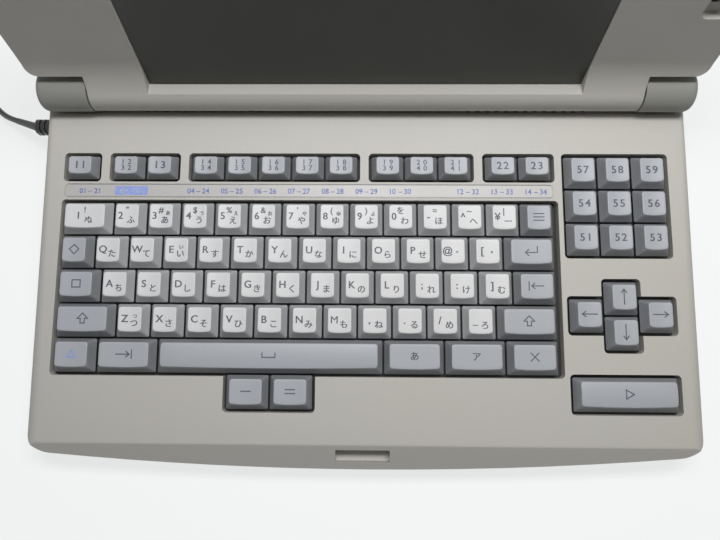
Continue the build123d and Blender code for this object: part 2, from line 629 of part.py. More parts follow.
def make_lid():
    """The screen bezel with its barrel, and the back cover."""
    outer = lid_body(0)
    shell = outer - lid_body(LID_WALL)
    half = SCREEN_WIDTH / 2
    screen_s = (SCREEN_START, SCREEN_START + SCREEN_HEIGHT)
    frame_s = (screen_s[0] - LID_WALL, screen_s[1] + LID_WALL)
    frame = span((-half - LID_WALL, half + LID_WALL), frame_s, (-0.2, 30))
    back_region = span((-300, 300), (13, 400), (-60, 0.5))
    back = shell & back_region
    bezel = (shell - back_region) + (frame & outer)
    bezel -= span((-half, half), screen_s, (-0.5, 40))
    for side in (-1, 1):
        inner_end = side * (BARREL_START - 16)
        outer_end = side * (BARREL_START - 0.9)
        low, high = sorted((inner_end, outer_end))
        bezel += rod((low, 0, 0), (high, 0, 0), BARREL_RADIUS - 1.5)
        bezel -= rod((low - 1, 0, 0), (high + 1, 0, 0), HINGE_PIN_RADIUS + RUNNING_CLEARANCE)

    slot = latch_slot_s()
    latch_half = LATCH_WIDTH / 2 + 0.6
    lip = extrude(lid_plan() - lid_plan(LID_WALL), 6.2)
    lip = (Pos(0, 0, 1) * lip) & span((-300, 300), (LID_LENGTH - 9.5, LID_LENGTH + 5), (0, 30))
    bezel += lip
    bezel -= span((-latch_half, latch_half), (LID_LENGTH - 4, LID_LENGTH + 9), (3.3, 6.7))
    bezel -= span((-latch_half, latch_half), (slot[0] - LATCH_TRAVEL - 0.4, slot[1] + 0.4), (0, 9))

    pocket_x = (WHEEL_X - 7.5, WHEEL_X + 7.5)
    pocket_s = (WHEEL_S - 13, WHEEL_S + 13)
    pocket = extrude(Pos(WHEEL_X, WHEEL_S, -2.2) * RectangleRounded(15, 26, 4), 7)
    wall = 1.5
    around = span(
        (pocket_x[0] - wall, pocket_x[1] + wall), (pocket_s[0] - wall, pocket_s[1] + wall), (-2.2 - wall, 1)
    )
    bezel += around
    for side in (-1, 1):
        cheek_x = sorted((WHEEL_X + side * 4.6, WHEEL_X + side * 6.6))
        cheek = span(cheek_x, (WHEEL_S - 4, WHEEL_S + 4), (WHEEL_N - 4, -3))
        bezel += cheek
    bezel -= pocket
    bezel -= span((WHEEL_X - 3.7, WHEEL_X + 3.7), (WHEEL_S - 6.9, WHEEL_S + 6.9), (-5, 0))
    bezel -= rod((WHEEL_X - 6.7, WHEEL_S, WHEEL_N), (WHEEL_X + 6.7, WHEEL_S, WHEEL_N), 1.55)
    return LID_FRAME * bezel, LID_FRAME * back


WHEEL_X = 167.5
WHEEL_S = 70.0
WHEEL_RADIUS = 6.5
WHEEL_N = LID_FRONT - WHEEL_RADIUS - 0.5


def make_lcd_panel():
    """The liquid crystal panel, with the window that stands up into the bezel's opening."""
    half = SCREEN_WIDTH / 2
    top = SCREEN_START + SCREEN_HEIGHT
    panel = span((-half - 3.5, half + 3.5), (SCREEN_START - 2, top + 3.5), (-8, -0.2))
    window_n = (-0.5, LID_FRONT - SCREEN_RECESS)
    window = span((0.3 - half, half - 0.3), (SCREEN_START + 0.3, top - 0.3), window_n)
    return LID_FRAME * (panel + window)


def make_backlight_board():
    """The lamp's power board, above the panel."""
    board = span((-100, 60), (160, 184), (-9, -7.4))
    coil_can = span((-60, -36), (164, 180), (-7.5, -1.5))
    lamp_plug = span((30, 52), (166, 178), (-7.5, -3))
    posts = [Pos(x, 172, -10.35) * Cylinder(2.5, 2 * (LID_BACK - LID_WALL - 10.35)) for x in (-94, -20, 54)]
    return LID_FRAME * (board + coil_can + lamp_plug + posts)


def make_lid_bumpers():
    """Rubber stops that hold the closed lid off the deck."""
    spots = [(side * (LID_HALF_WIDTH - 7), s) for side in (-1, 1) for s in (LID_LENGTH - 22, 112)]
    height = HINGE_RISE - LID_FRONT - 0.5
    pad = Pos(0, 0, LID_FRONT + height / 2) * Cylinder(2.8, height)
    return LID_FRAME * group([Pos(x, s, 0) * pad for x, s in spots])


def make_contrast_wheel():
    """The knurled wheel in the bezel's right side, on an axle across the lid."""
    knurls = 20
    outline = []
    for index in range(knurls * 2):
        angle = pi * index / knurls
        radius = WHEEL_RADIUS if index % 2 == 0 else WHEEL_RADIUS - 0.5
        outline.append((radius * cos(angle), radius * sin(angle)))
    disc = across(make_face(Polyline(*outline, close=True)), 3.2)
    axle = rod((-6.4, 0, 0), (6.4, 0, 0), 1.5)
    return LID_FRAME * Pos(WHEEL_X, WHEEL_S, WHEEL_N) * (disc + axle)


def make_lid_latch():
    """The sliding latch: body, hooked tongue and pull tab."""
    low, high = latch_slot_s()
    half = LATCH_WIDTH / 2
    tip = HINGE_RISE + 7.6
    tongue = span((-half, half), (low, high), (-4, tip))
    hook = span((-half, half), (low - LATCH_TRAVEL, high), (tip - 1.9, tip))
    slider = span((-half, half), (low - 12, high), (-4, -0.2))
    tab = span((-half, half), (low, LID_LENGTH + 1.2), (3.8, 6.2))
    return LID_FRAME * (tongue + hook + slider + tab)


def make_hinge_barrels():
    """Fixed barrels at both ends of the lid, each on a foot that sits in the trough."""
    barrels = []
    for side in (-1, 1):
        low, high = sorted((side * BARREL_START, side * BARREL_END))
        barrel = rod((low, 0, 0), (high, 0, 0), END_BARREL_RADIUS)
        outer_rim = barrel.edges().filter_by(GeomType.CIRCLE).sort_by(Axis.X)[-1 if side > 0 else 0]
        barrel = fillet(outer_rim, 4.0)
        foot = span((low + 6, high - 6), (-1, 9), (-TROUGH_RADIUS, -6))
        foot = foot & rod((low, 0, 0), (high, 0, 0), TROUGH_RADIUS)
        barrel = barrel + foot
        bore_low, bore_high = sorted((side * (BARREL_START - 1), side * (BARREL_START + 20)))
        barrel -= rod((bore_low, 0, 0), (bore_high, 0, 0), HINGE_PIN_RADIUS)
        barrels.append(Pos(0, AXIS_Y, AXIS_Z) * Rot(DECK_TILT, 0, 0) * barrel)
    return group(barrels)


def make_hinge_pins():
    """Steel pins fixed in the barrels; the lid turns on them."""
    pins = []
    for side in (-1, 1):
        low, high = sorted((side * (BARREL_START - 15), side * (BARREL_START + 20)))
        pins.append(rod((low, AXIS_Y, AXIS_Z), (high, AXIS_Y, AXIS_Z), HINGE_PIN_RADIUS))
    return group(pins)


# ---------------------------------------------------------------- printer
def gear(teeth, width, bore):
    """A spur gear about X, with slim straight-sided teeth, starting at x = 0."""
    pitch_radius = GEAR_MODULE * teeth / 2
    root = pitch_radius - 1.25 * GEAR_MODULE
    tip = pitch_radius + 0.9 * GEAR_MODULE
    step = 2 * pi / teeth
    outline = []
    for index in range(teeth):
        angle = index * step
        for radius, share in ((root, -0.33), (tip, -0.1), (tip, 0.1), (root, 0.33)):
            outline.append((radius * cos(angle + share * step), radius * sin(angle + share * step)))
    face = make_face(Polyline(*outline, close=True)) - Circle(bore)
    return extrude(Plane.YZ * face, width)


GEAR_X = FRAME_LEFT + 10
PINION_Y = PLATEN_Y - GEAR_MODULE * (PLATEN_GEAR_TEETH + PINION_TEETH) / 2 - GEAR_SLACK
CARRIAGE_Y = PLATEN_Y - 29.0
CARRIAGE_Z = 40.0
CARRIAGE_REST = FRAME_LEFT + 52


def make_printer_frame():
    """The printer's chassis: a floor and two side plates that carry the shafts."""
    y_range = (CARRIAGE_Y - 20, PLATEN_Y + 18)
    floor = span((FRAME_LEFT, FRAME_RIGHT), y_range, (FLOOR_TOP + 2, FLOOR_TOP + 4))
    frame = floor
    for x in (FRAME_LEFT, FRAME_RIGHT - FRAME_THICKNESS):
        side = span((x, x + FRAME_THICKNESS), y_range, (FLOOR_TOP + 2, PLATEN_HEIGHT + 9))
        side = chamfer(side.edges().filter_by(Axis.X).sort_by(Axis.Z)[-2:], 7)
        frame += side
    for y, z, radius in (
        (PLATEN_Y, PLATEN_HEIGHT, PLATEN_SHAFT_RADIUS + RUNNING_CLEARANCE),
        (CARRIAGE_Y, CARRIAGE_Z, CARRIAGE_SHAFT_RADIUS),
    ):
        frame -= rod((FRAME_LEFT - 5, y, z), (FRAME_RIGHT + 5, y, z), radius)
    frame -= rod((FRAME_LEFT - 5, PINION_Y, PLATEN_HEIGHT), (FRAME_LEFT + 5, PINION_Y, PLATEN_HEIGHT), 4)
    for x in (FRAME_LEFT + 10, FRAME_RIGHT - 18):
        frame += span((x, x + 8), (y_range[0] + 4, y_range[0] + 12), (FLOOR_TOP, FLOOR_TOP + 2.5))
        frame += span((x, x + 8), (y_range[1] - 12, y_range[1] - 4), (FLOOR_TOP, FLOOR_TOP + 2.5))
    return frame


def make_platen():
    """The rubber-covered platen roller on its shaft."""
    start = PAPER_CENTRE - PLATEN_LENGTH / 2
    shaft_end = KNOB_X + KNOB_WIDTH - 3
    axis = (PLATEN_Y, PLATEN_HEIGHT)
    roller = rod((start, *axis), (start + PLATEN_LENGTH, *axis), PLATEN_RADIUS)
    return roller + rod((FRAME_LEFT - 4, *axis), (shaft_end, *axis), PLATEN_SHAFT_RADIUS)


def make_platen_knob():
    """The fluted knob that turns the platen by hand."""
    knob = rod((0, 0, 0), (KNOB_WIDTH, 0, 0), KNOB_RADIUS)
    for index in range(KNOB_FLUTES):
        angle = 2 * pi * index / KNOB_FLUTES
        y = (KNOB_RADIUS + 0.7) * cos(angle)
        z = (KNOB_RADIUS + 0.7) * sin(angle)
        knob -= rod((2, y, z), (KNOB_WIDTH + 1, y, z), 1.5)
    knob -= rod((-1, 0, 0), (KNOB_WIDTH - 3, 0, 0), PLATEN_SHAFT_RADIUS)
    return Pos(KNOB_X, PLATEN_Y, PLATEN_HEIGHT) * knob


def make_platen_gear():
    """The gear on the platen's left end."""
    return Pos(GEAR_X, PLATEN_Y, PLATEN_HEIGHT) * gear(PLATEN_GEAR_TEETH, GEAR_WIDTH, PLATEN_SHAFT_RADIUS)


def make_feed_pinion():
    """The feed motor's pinion and its shaft; half a tooth round, so that it meshes."""
    pinion = gear(PINION_TEETH, GEAR_WIDTH, 0.5)
    half_tooth = 180 / PINION_TEETH
    start = FRAME_LEFT - 1
    shaft = rod((start, PINION_Y, PLATEN_HEIGHT), (GEAR_X + 1, PINION_Y, PLATEN_HEIGHT), 1.5)
    return Pos(GEAR_X, PINION_Y, PLATEN_HEIGHT) * Rot(half_tooth, 0, 0) * pinion + shaft


def make_feed_motor():
    """The stepping motor that feeds the paper, flanged to the left side plate."""
    body_height = PLATEN_HEIGHT - 3
    body = rod((FRAME_LEFT - 22, PINION_Y, body_height), (FRAME_LEFT - 1.5, PINION_Y, body_height), 14)
    flange_y = (PINION_Y - 20, PINION_Y + 14)
    flange = span((FRAME_LEFT - 1.5, FRAME_LEFT), flange_y, (PLATEN_HEIGHT - 9, PLATEN_HEIGHT + 5))
    bore = rod((FRAME_LEFT - 4, PINION_Y, PLATEN_HEIGHT), (FRAME_LEFT + 1, PINION_Y, PLATEN_HEIGHT), 1.55)
    return body + flange - bore


def make_carriage_shaft():
    """The polished bar that the print carriage slides on."""
    start = (FRAME_LEFT - 1, CARRIAGE_Y, CARRIAGE_Z)
    return rod(start, (FRAME_RIGHT + 1, CARRIAGE_Y, CARRIAGE_Z), CARRIAGE_SHAFT_RADIUS)


def make_print_carriage():
    """The carriage with its thermal head lever."""
    half = CARRIAGE_WIDTH / 2
    block = span((-half, half), (-10, 9), (-8, 11))
    block = chamfer(block.edges().filter_by(Axis.X).sort_by(Axis.Z)[:2], 3)
    head = span((-6, 6), (9, 18), (6, 16)) + span((-6, 6), (3, 18), (6, 10.5))
    carriage = block + head
    carriage -= rod((-half - 1, 0, 0), (half + 1, 0, 0), CARRIAGE_SHAFT_RADIUS + RUNNING_CLEARANCE)
    return Pos(CARRIAGE_REST, CARRIAGE_Y, CARRIAGE_Z) * carriage


def make_ribbon_cassette():
    """The ribbon cassette that clips on the carriage, with its two hubs."""
    case = extrude(Pos(0, -4, 0) * RectangleRounded(56, 24, 7), 11)
    for x in (-15, 15):
        case -= Pos(x, -4, 8) * Cylinder(4.5, 8)
        case += Pos(x, -4, 5) * Cylinder(2.5, 8)
    return Pos(CARRIAGE_REST, CARRIAGE_Y, CARRIAGE_Z + 11) * case


def make_printer_cover():
    """The hinged cover over the printer, with the paper's way out and side pins."""
    x = (COVER_LEFT + COVER_GAP, COVER_LEFT + COVER_WIDTH - COVER_GAP)
    top = HOUSING_RISE
    plate = span(x, (COVER_FRONT + COVER_GAP, COVER_REAR - COVER_GAP), (top - 2.5, top))
    slot_x = (PAPER_CENTRE - PAPER_SLOT_WIDTH / 2, PAPER_CENTRE + PAPER_SLOT_WIDTH / 2)
    plate -= span(slot_x, (COVER_REAR - 19, COVER_REAR - 13.5), (top - 5, top + 5))
    for index in range(3):
        v = COVER_FRONT + 18 + index * 4
        plate -= span((PAPER_CENTRE - 30, PAPER_CENTRE + 30), (v, v + 1.6), (top - 0.8, top + 1))
    for low in (x[0], x[1] - 6):
        plate += span((low, low + 6), (COVER_REAR - 6, COVER_REAR - 1), (top - 6, top - 2))
    axis = (COVER_AXIS_V, COVER_AXIS_W)
    pins = rod((x[0] - 3, *axis), (x[0] + 1, *axis), COVER_PIN_RADIUS)
    pins += rod((x[1] - 1, *axis), (x[1] + 3, *axis), COVER_PIN_RADIUS)
    return DECK_FRAME * (plate + pins)


COVER_AXIS_V = COVER_REAR - 3.5
COVER_AXIS_W = HOUSING_RISE - 4.2
COVER_PIN_RADIUS = 1.5


# ---------------------------------------------------------------- electrics
def make_main_board():
    """The logic board on the floor of the case, with its larger components."""
    x_range = (-HALF_WIDTH + 14, 54)
    y_range = (FRONT_Y + 26, 14)
    base = FLOOR_TOP + 3
    board = span(x_range, y_range, (base, base + 1.6))
    for x in (x_range[0] + 14, x_range[1] - 14):
        for y in (y_range[0] + 12, y_range[1] - 12):
            board += Pos(x, y, FLOOR_TOP + 1.6) * Cylinder(3, 3.2)
    chips = [
        (-120, -100, 26, 26),
        (-60, -90, 34, 20),
        (-20, -100, 20, 30),
        (-110, -40, 30, 14),
        (-50, -30, 44, 14),
    ]
    for x, y, width, depth in chips:
        board += span((x, x + width), (y, y + depth), (base + 1.5, base + 4.6))
    return board


def make_power_supply():
    """The mains power unit, in its ventilated steel box."""
    box = span((-HALF_WIDTH + 14, -60), (22, 76), (FLOOR_TOP, FLOOR_TOP + 26))
    for index in range(8):
        x = -HALF_WIDTH + 30 + index * 10
        box -= span((x, x + 5), (30, 68), (FLOOR_TOP + 24.5, FLOOR_TOP + 27))
    return box


def make_power_inlet():
    """The appliance inlet in the left side, with its two contact blades."""
    y = (INLET_POSITION - CONNECTOR_WIDTH / 2 - 0.9, INLET_POSITION + CONNECTOR_WIDTH / 2 + 0.9)
    z = (INLET_HEIGHT - CONNECTOR_HEIGHT / 2 - 0.9, INLET_HEIGHT + CONNECTOR_HEIGHT / 2 + 0.9)
    inlet = span((-HALF_WIDTH + 0.3, -HALF_WIDTH + 14), y, z)
    inner_y = (y[0] + 1.6, y[1] - 1.6)
    inner_z = (z[0] + 1.6, z[1] - 1.6)
    return inlet - span((-HALF_WIDTH - 1, -HALF_WIDTH + 11), inner_y, inner_z)


def make_power_switch():
    """The slide switch's cap on the left side."""
    cap_z = (SWITCH_Z - 4.4, SWITCH_Z + 4.4)
    cap = span((-HALF_WIDTH, -HALF_WIDTH + 4.5), (SWITCH_Y - 8.4, SWITCH_Y + 2.4), cap_z)
    for index in range(3):
        y = SWITCH_Y - 6 + index * 2.6
        cap -= span((-HALF_WIDTH - 1, -HALF_WIDTH + 0.6), (y, y + 1.1), (SWITCH_Z - 5, SWITCH_Z + 5))
    return cap


def make_floppy_drive():
    """The disc drive: metal body, front plate and disc slot."""
    x_front = HALF_WIDTH - 0.4
    body = span((x_front - DRIVE_LENGTH, x_front - 4), (DRIVE_Y[0], DRIVE_Y[1]), DRIVE_Z)
    plate = span((x_front - 4, x_front), (DRIVE_Y[0], DRIVE_Y[1]), DRIVE_Z)
    drive = body + plate
    middle = (DRIVE_Y[0] + DRIVE_Y[1]) / 2
    slot_y = (middle - DISC_SLOT_WIDTH / 2, middle + DISC_SLOT_WIDTH / 2)
    slot_z = (DRIVE_Z[1] - 3 - DISC_SLOT_HEIGHT, DRIVE_Z[1] - 3)
    drive -= span((x_front - 96, x_front + 1), slot_y, slot_z)
    drive -= span((x_front - 1.5, x_front + 1), (middle - 14, middle + 14), (DRIVE_Z[0] + 6, DRIVE_Z[1]))
    drive -= span((x_front - 10, x_front + 1), *eject_opening(0.4))
    for index, x in enumerate((x_front - 110, x_front - 20)):
        for y in (DRIVE_Y[0] + 8, DRIVE_Y[1] - 8):
            drive += Pos(x, y, FLOOR_TOP + 0.9) * Cylinder(4, 1.8)
    return drive


def eject_opening(grow):
    """Y and Z ranges of the eject button, grown by a clearance."""
    return (
        (DRIVE_Y[1] - 22 - grow, DRIVE_Y[1] - 10 + grow),
        (DRIVE_Z[0] + 2 - grow, DRIVE_Z[0] + 6.5 + grow),
    )


def make_eject_button():
    """The disc drive's eject button, flush with the side."""
    return span((HALF_WIDTH - 6, HALF_WIDTH), *eject_opening(0))


# ---------------------------------------------------------------- mains lead
def make_cord_connector():
    """The ribbed moulded connector in the inlet, with its short tapered relief."""
    half_y = CONNECTOR_WIDTH / 2
    half_z = CONNECTOR_HEIGHT / 2
    core_corner = CONNECTOR_CORNER - 0.7
    core = Plane.YZ * RectangleRounded(2 * half_y - 1.4, 2 * half_z - 1.4, core_corner)
    nose = extrude(core, 10.5)
    body = extrude(Plane.YZ * RectangleRounded(2 * half_y, 2 * half_z, CONNECTOR_CORNER), -CONNECTOR_LENGTH)
    for index in range(4):
        x = 2.6 + index * 3.1 - CONNECTOR_LENGTH
        body -= span((x, x + 1.4), (-10, 10), (-12, 12)) - extrude(core, -CONNECTOR_LENGTH)
    relief_length = RELIEF_LENGTH + 3
    middle = RELIEF_START + RELIEF_HEADING * (RELIEF_LENGTH - relief_length / 2)
    relief = Plane(middle, z_dir=RELIEF_HEADING) * Cone(2.6, CORD_DIAMETER / 2 + 0.2, relief_length)
    return Pos(-HALF_WIDTH - 0.4, INLET_POSITION, INLET_HEIGHT) * (nose + body) + relief


COIL_CENTRE = (-HALF_WIDTH - 114.0, INLET_POSITION + 80.8)
COIL_OUTER = COIL_MIDDLE_RADIUS + COIL_TURNS_PER_LAYER * COIL_PITCH / 2
CORD_REST = CORD_DIAMETER / 2 + 0.15
RELIEF_LENGTH = 22.0
RELIEF_START = Vector(-HALF_WIDTH - 0.4 - CONNECTOR_LENGTH, INLET_POSITION, INLET_HEIGHT - 0.5)
RELIEF_HEADING = Vector(-18.8, 8.1, -8.5).normalized()
CORD_START = RELIEF_START + RELIEF_HEADING * RELIEF_LENGTH
COIL_ENTRY = (COIL_CENTRE[0] + COIL_OUTER, COIL_CENTRE[1] - CORD_DIAMETER)
LEAD_POINTS = [
    tuple(CORD_START),
    tuple(CORD_START + RELIEF_HEADING * 11),
    (CORD_START.X - 19.5, CORD_START.Y + 11.8, CORD_REST + 1.0),
    (CORD_START.X - 30.0, CORD_START.Y + 22.3, CORD_REST),
    (CORD_START.X - 42.0, CORD_START.Y + 38.3, CORD_REST),
    (COIL_ENTRY[0], COIL_ENTRY[1] - 11.0, CORD_REST),
    (*COIL_ENTRY, CORD_REST),
]


def corner_radii(points):
    """The largest arc that each corner's two runs allow."""
    radii = []
    for before, here, after in zip(points, points[1:], points[2:]):
        first = Vector(*here) - Vector(*before)
        second = Vector(*after) - Vector(*here)
        turn = radians(first.get_angle(second))
        radii.append(0.45 * min(first.length, second.length) / tan(turn / 2))
    return radii


def tube_along(points, name):
    """A round tube along straight runs joined by tangent arcs."""
    radii = corner_radii(points)
    print(name, "radii in diameters:", [round(radius / CORD_DIAMETER, 1) for radius in radii])
    path = FilletPolyline(*points, radius=radii)
    start = Plane(points[0], z_dir=Vector(*points[1]) - Vector(*points[0]))
    tube = sweep(start * Circle(CORD_DIAMETER / 2), path=path)
    length = path.length
    ratio = tube.volume / (length * pi * CORD_DIAMETER**2 / 4)
    print(name, "length", round(length, 1), "volume ratio", round(ratio, 4))
    return tube


def coil_place(turns):
    """Centre-line point of the coil after so many turns: spiral in, climb, spiral out, climb."""
    layer_turns = COIL_TURNS_PER_LAYER
    layer = min(int(turns / layer_turns), COIL_LAYERS - 1)
    share = turns / layer_turns - layer
    inward = share if layer % 2 == 0 else 1 - share
    radius = COIL_OUTER - inward * layer_turns * COIL_PITCH
    height = layer
    climb_start = 1 - 0.25 / layer_turns
    climb_end = 0.25 / layer_turns
    if share > climb_start and layer < COIL_LAYERS - 1:
        height += ((share - climb_start) / (1 - climb_start)) ** 2 / 2
    if share < climb_end and layer > 0:
        height -= ((climb_end - share) / climb_end) ** 2 / 2
    angle = 2 * pi * turns
    return Vector(
        COIL_CENTRE[0] + radius * cos(angle),
        COIL_CENTRE[1] + radius * sin(angle),
        CORD_REST + height * COIL_PITCH,
    )


def coil_heading(turns):
    """Direction of the coil's centre line after so many turns."""
    step = 0.004
    total = COIL_LAYERS * COIL_TURNS_PER_LAYER
    if turns < step:
        return Vector(0, 1, 0)
    if turns > total - step:
        angle = 2 * pi * total
        return Vector(-sin(angle), cos(angle), 0)
    return (coil_place(turns + step) - coil_place(turns - step)).normalized()


def biarc(start, start_heading, end, end_heading):
    """Two tangent arcs from one point and heading to another."""
    chord = end - start
    both = start_heading + end_heading
    bend = 2 * (1 - start_heading.dot(end_heading))
    reach = (-chord.dot(both) + sqrt(chord.dot(both) ** 2 + bend * chord.dot(chord))) / bend
    joint = (start + start_heading * reach + end - end_heading * reach) * 0.5
    joint_heading = ((end - end_heading * reach) - (start + start_heading * reach)).normalized()
    return [
        TangentArc(start, joint, tangent=start_heading),
        TangentArc(joint, end, tangent=joint_heading),
    ]


def make_cord_coil():
    """The spare cord, wound in four layers of three turns."""
    total = COIL_LAYERS * COIL_TURNS_PER_LAYER
    stations = [quarter / 4 for quarter in range(total * 4 + 1)]
    arcs = []
    for first, second in zip(stations, stations[1:]):
        arcs += biarc(coil_place(first), coil_heading(first), coil_place(second), coil_heading(second))
    entry = Vector(*COIL_ENTRY, CORD_REST)
    runs = [Line(entry, coil_place(0)), *arcs, Line(coil_place(total), TAIL_START)]
    path = Wire([run.edge() for run in runs])
    section = Plane(entry, z_dir=coil_heading(0)) * Circle(CORD_DIAMETER / 2)
    coil = sweep(section, path=path)
    ratio = coil.volume / (path.length * pi * CORD_DIAMETER**2 / 4)
    print("coil length", round(path.length, 1), "volume ratio", round(ratio, 4))
    points = [coil_place(index / 48) for index in range(total * 48 + 1)]
    gap = min(
        (points[i] - points[j]).length
        for i in range(len(points))
        for j in range(i + 24, len(points), 2)
    )
    print("coil least gap to itself", round(gap - CORD_DIAMETER, 2))
    return coil


TAIL_START = coil_place(COIL_LAYERS * COIL_TURNS_PER_LAYER) + Vector(0, CORD_DIAMETER, 0)
TAIL_POINTS = [
    tuple(TAIL_START),
    (TAIL_START.X, TAIL_START.Y + 10, TAIL_START.Z),
    (TAIL_START.X - 3, TAIL_START.Y + 24, TAIL_START.Z - 6.0),
    (TAIL_START.X - 11, TAIL_START.Y + 38, CORD_REST + 1.4),
    (TAIL_START.X - 23, TAIL_START.Y + 48, CORD_REST + 2.0),
    (TAIL_START.X - 36, TAIL_START.Y + 50, CORD_REST + 3.0),
]


def make_wall_plug():
    """The flat two-blade plug on the cord's far end."""
    end = Vector(*TAIL_POINTS[-1])
    heading = (end - Vector(*TAIL_POINTS[-2])).normalized()
    frame = Plane(end, z_dir=heading)
    relief = frame * Pos(0, 0, 5) * Cone(CORD_DIAMETER / 2 + 0.2, 3.4, 10)
    level = Plane(origin=(end.X, end.Y, end.Z), x_dir=(heading.X, heading.Y, 0), z_dir=(0, 0, 1))
    body = span((9, 30), (-10, 10), (-4.4, 4.4))
    body = chamfer(body.edges().filter_by(Axis.Z).sort_by(Axis.X)[:2], 5)
    blades = span((29, 46), (-7.1, -5.6), (-3.1, 3.1)) + span((29, 46), (5.6, 7.1), (-3.1, 3.1))
    plug = level * (body + blades)
    return plug + relief


# ---------------------------------------------------------------- files
def write_parts():
    """Builds every node and writes one file for each."""
    os.makedirs("parts", exist_ok=True)
    bottom_case, top_case = make_cases()
    lid_bezel, lid_back_cover = make_lid()
    nodes = {
        "bottom_case": bottom_case,
        "top_case": top_case,
        "keyboard_plate": make_keyboard_plate(),
        "label_strip": make_label_strip(),
        "case_screws": make_case_screws(),
        "rubber_feet": make_rubber_feet(),
        "lid_bezel": lid_bezel,
        "lid_back_cover": lid_back_cover,
        "lcd_panel": make_lcd_panel(),
        "backlight_board": make_backlight_board(),
        "lid_bumpers": make_lid_bumpers(),
        "contrast_wheel": make_contrast_wheel(),
        "lid_latch": make_lid_latch(),
        "hinge_barrels": make_hinge_barrels(),
        "hinge_pins": make_hinge_pins(),
        "printer_frame": make_printer_frame(),
        "platen_roller": make_platen(),
        "platen_knob": make_platen_knob(),
        "platen_gear": make_platen_gear(),
        "feed_pinion": make_feed_pinion(),
        "feed_motor": make_feed_motor(),
        "carriage_shaft": make_carriage_shaft(),
        "print_carriage": make_print_carriage(),
        "ribbon_cassette": make_ribbon_cassette(),
        "printer_cover": make_printer_cover(),
        "main_board": make_main_board(),
        "power_supply": make_power_supply(),
        "power_inlet": make_power_inlet(),
        "power_switch": make_power_switch(),
        "floppy_drive": make_floppy_drive(),
        "eject_button": make_eject_button(),
        "cord_connector": make_cord_connector(),
        "cord_lead": tube_along(LEAD_POINTS, "lead"),
        "cord_coil": make_cord_coil(),
        "cord_tail": tube_along(TAIL_POINTS, "tail"),
        "wall_plug": make_wall_plug(),
    }
    for name, keys in make_keys().items():
        nodes[name] = group(keys)
    for name, shape in nodes.items():
        export_step(shape, f"parts/{name}.step")
    print(len(nodes), "nodes written")


write_parts()
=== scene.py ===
# %% [markdown]
# # A portable word processor, finished in Blender
# The CAD model is loaded first and gives every rigid part its place. This script then adds what CAD
# leaves out: the cord as one flexible line, moulded key tops with their letters, and a finish for
# every plastic, rubber and metal surface. Everything is in metres, and the hinge side of the machine
# faces +Y, so the front edge is at the lowest Y.

# %% Load the model and the plain helpers
import json
from math import ceil, cos, hypot, pi, radians, sin

import bmesh
import bpy
from mathutils import Matrix, Vector


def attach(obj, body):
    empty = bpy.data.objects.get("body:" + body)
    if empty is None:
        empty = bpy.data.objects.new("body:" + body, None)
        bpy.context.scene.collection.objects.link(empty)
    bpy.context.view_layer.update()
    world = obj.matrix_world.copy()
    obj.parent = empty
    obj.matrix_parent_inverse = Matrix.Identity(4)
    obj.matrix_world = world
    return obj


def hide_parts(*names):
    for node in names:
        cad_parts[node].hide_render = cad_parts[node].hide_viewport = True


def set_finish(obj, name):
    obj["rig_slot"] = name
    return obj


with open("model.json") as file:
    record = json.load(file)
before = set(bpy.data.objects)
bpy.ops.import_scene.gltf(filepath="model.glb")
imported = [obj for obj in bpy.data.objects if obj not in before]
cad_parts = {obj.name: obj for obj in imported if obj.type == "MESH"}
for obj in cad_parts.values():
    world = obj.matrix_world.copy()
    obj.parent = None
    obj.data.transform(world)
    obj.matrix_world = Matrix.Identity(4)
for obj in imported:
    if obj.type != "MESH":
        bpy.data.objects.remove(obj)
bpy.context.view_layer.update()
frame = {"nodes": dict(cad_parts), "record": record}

nodes = frame["nodes"]
body_of_node = {}
for body_name, members in frame["record"]["behaviour"]["bodies"].items():
    for member in members:
        body_of_node[member] = body_name
slot_of_node = {part["node"]: part["material_slot"] for part in frame["record"]["subparts"]}
MM = 0.001


def add_piece(name, vertices, faces, body, slot, smooth=True):
    """A mesh object from plain lists, riding on a body and painted later by its slot."""
    mesh = bpy.data.meshes.new(name)
    mesh.from_pydata([tuple(v) for v in vertices], [], faces)
    mesh.validate()
    if smooth:
        mesh.shade_smooth()
    piece = bpy.data.objects.new(name, mesh)
    bpy.context.scene.collection.objects.link(piece)
    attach(piece, body)
    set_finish(piece, slot)
    return piece


# %% [markdown]
# ## Camera
# The photograph is taken from above the middle of the keyboard, a little over a third of a metre up,
# with a wide lens: the lid's upper corners run out of the frame and the key walls lean outward. A
# camera close by with the same short lens gives the same lean, which no crop of a far view would.

# %% Camera
camera_data = bpy.data.cameras.new("camera")
camera_data.lens = 31.97
camera_data.sensor_width = 36
camera_data.sensor_fit = "HORIZONTAL"
camera_data.shift_x = 0.0100
camera_data.shift_y = -0.0467
camera_data.clip_start = 0.01
camera = bpy.data.objects.new("camera", camera_data)
camera.location = (-0.00006, -0.12177, 0.38671)
camera.rotation_euler = (radians(12.94), radians(0.863), radians(0.446))
bpy.context.scene.collection.objects.link(camera)
bpy.context.scene.camera = camera
print("camera at", tuple(round(value, 3) for value in camera.location))

# %% [markdown]
# ## Mains cord
# The lead is a thin round vinyl cord that leaves a ribbed connector, drops to the table and runs out
# of the picture to the left. The rest is put away as a coil held by a tie, with the plug beside it.
# A NURBS spline with few control points bends like a real cord; a polyline would show its corners.

# %% Cord route
CORD_DIAMETER = 3.5 * MM
CORD_REST = 1.9 * MM
COIL_PITCH = 4.1 * MM
COIL_TURNS = 3
COIL_LAYERS = 4
COIL_CENTRE = Vector((-297.5, 110.5, 0)) * MM
COIL_OUTER = 27.15 * MM
POINTS_PER_TURN = 16

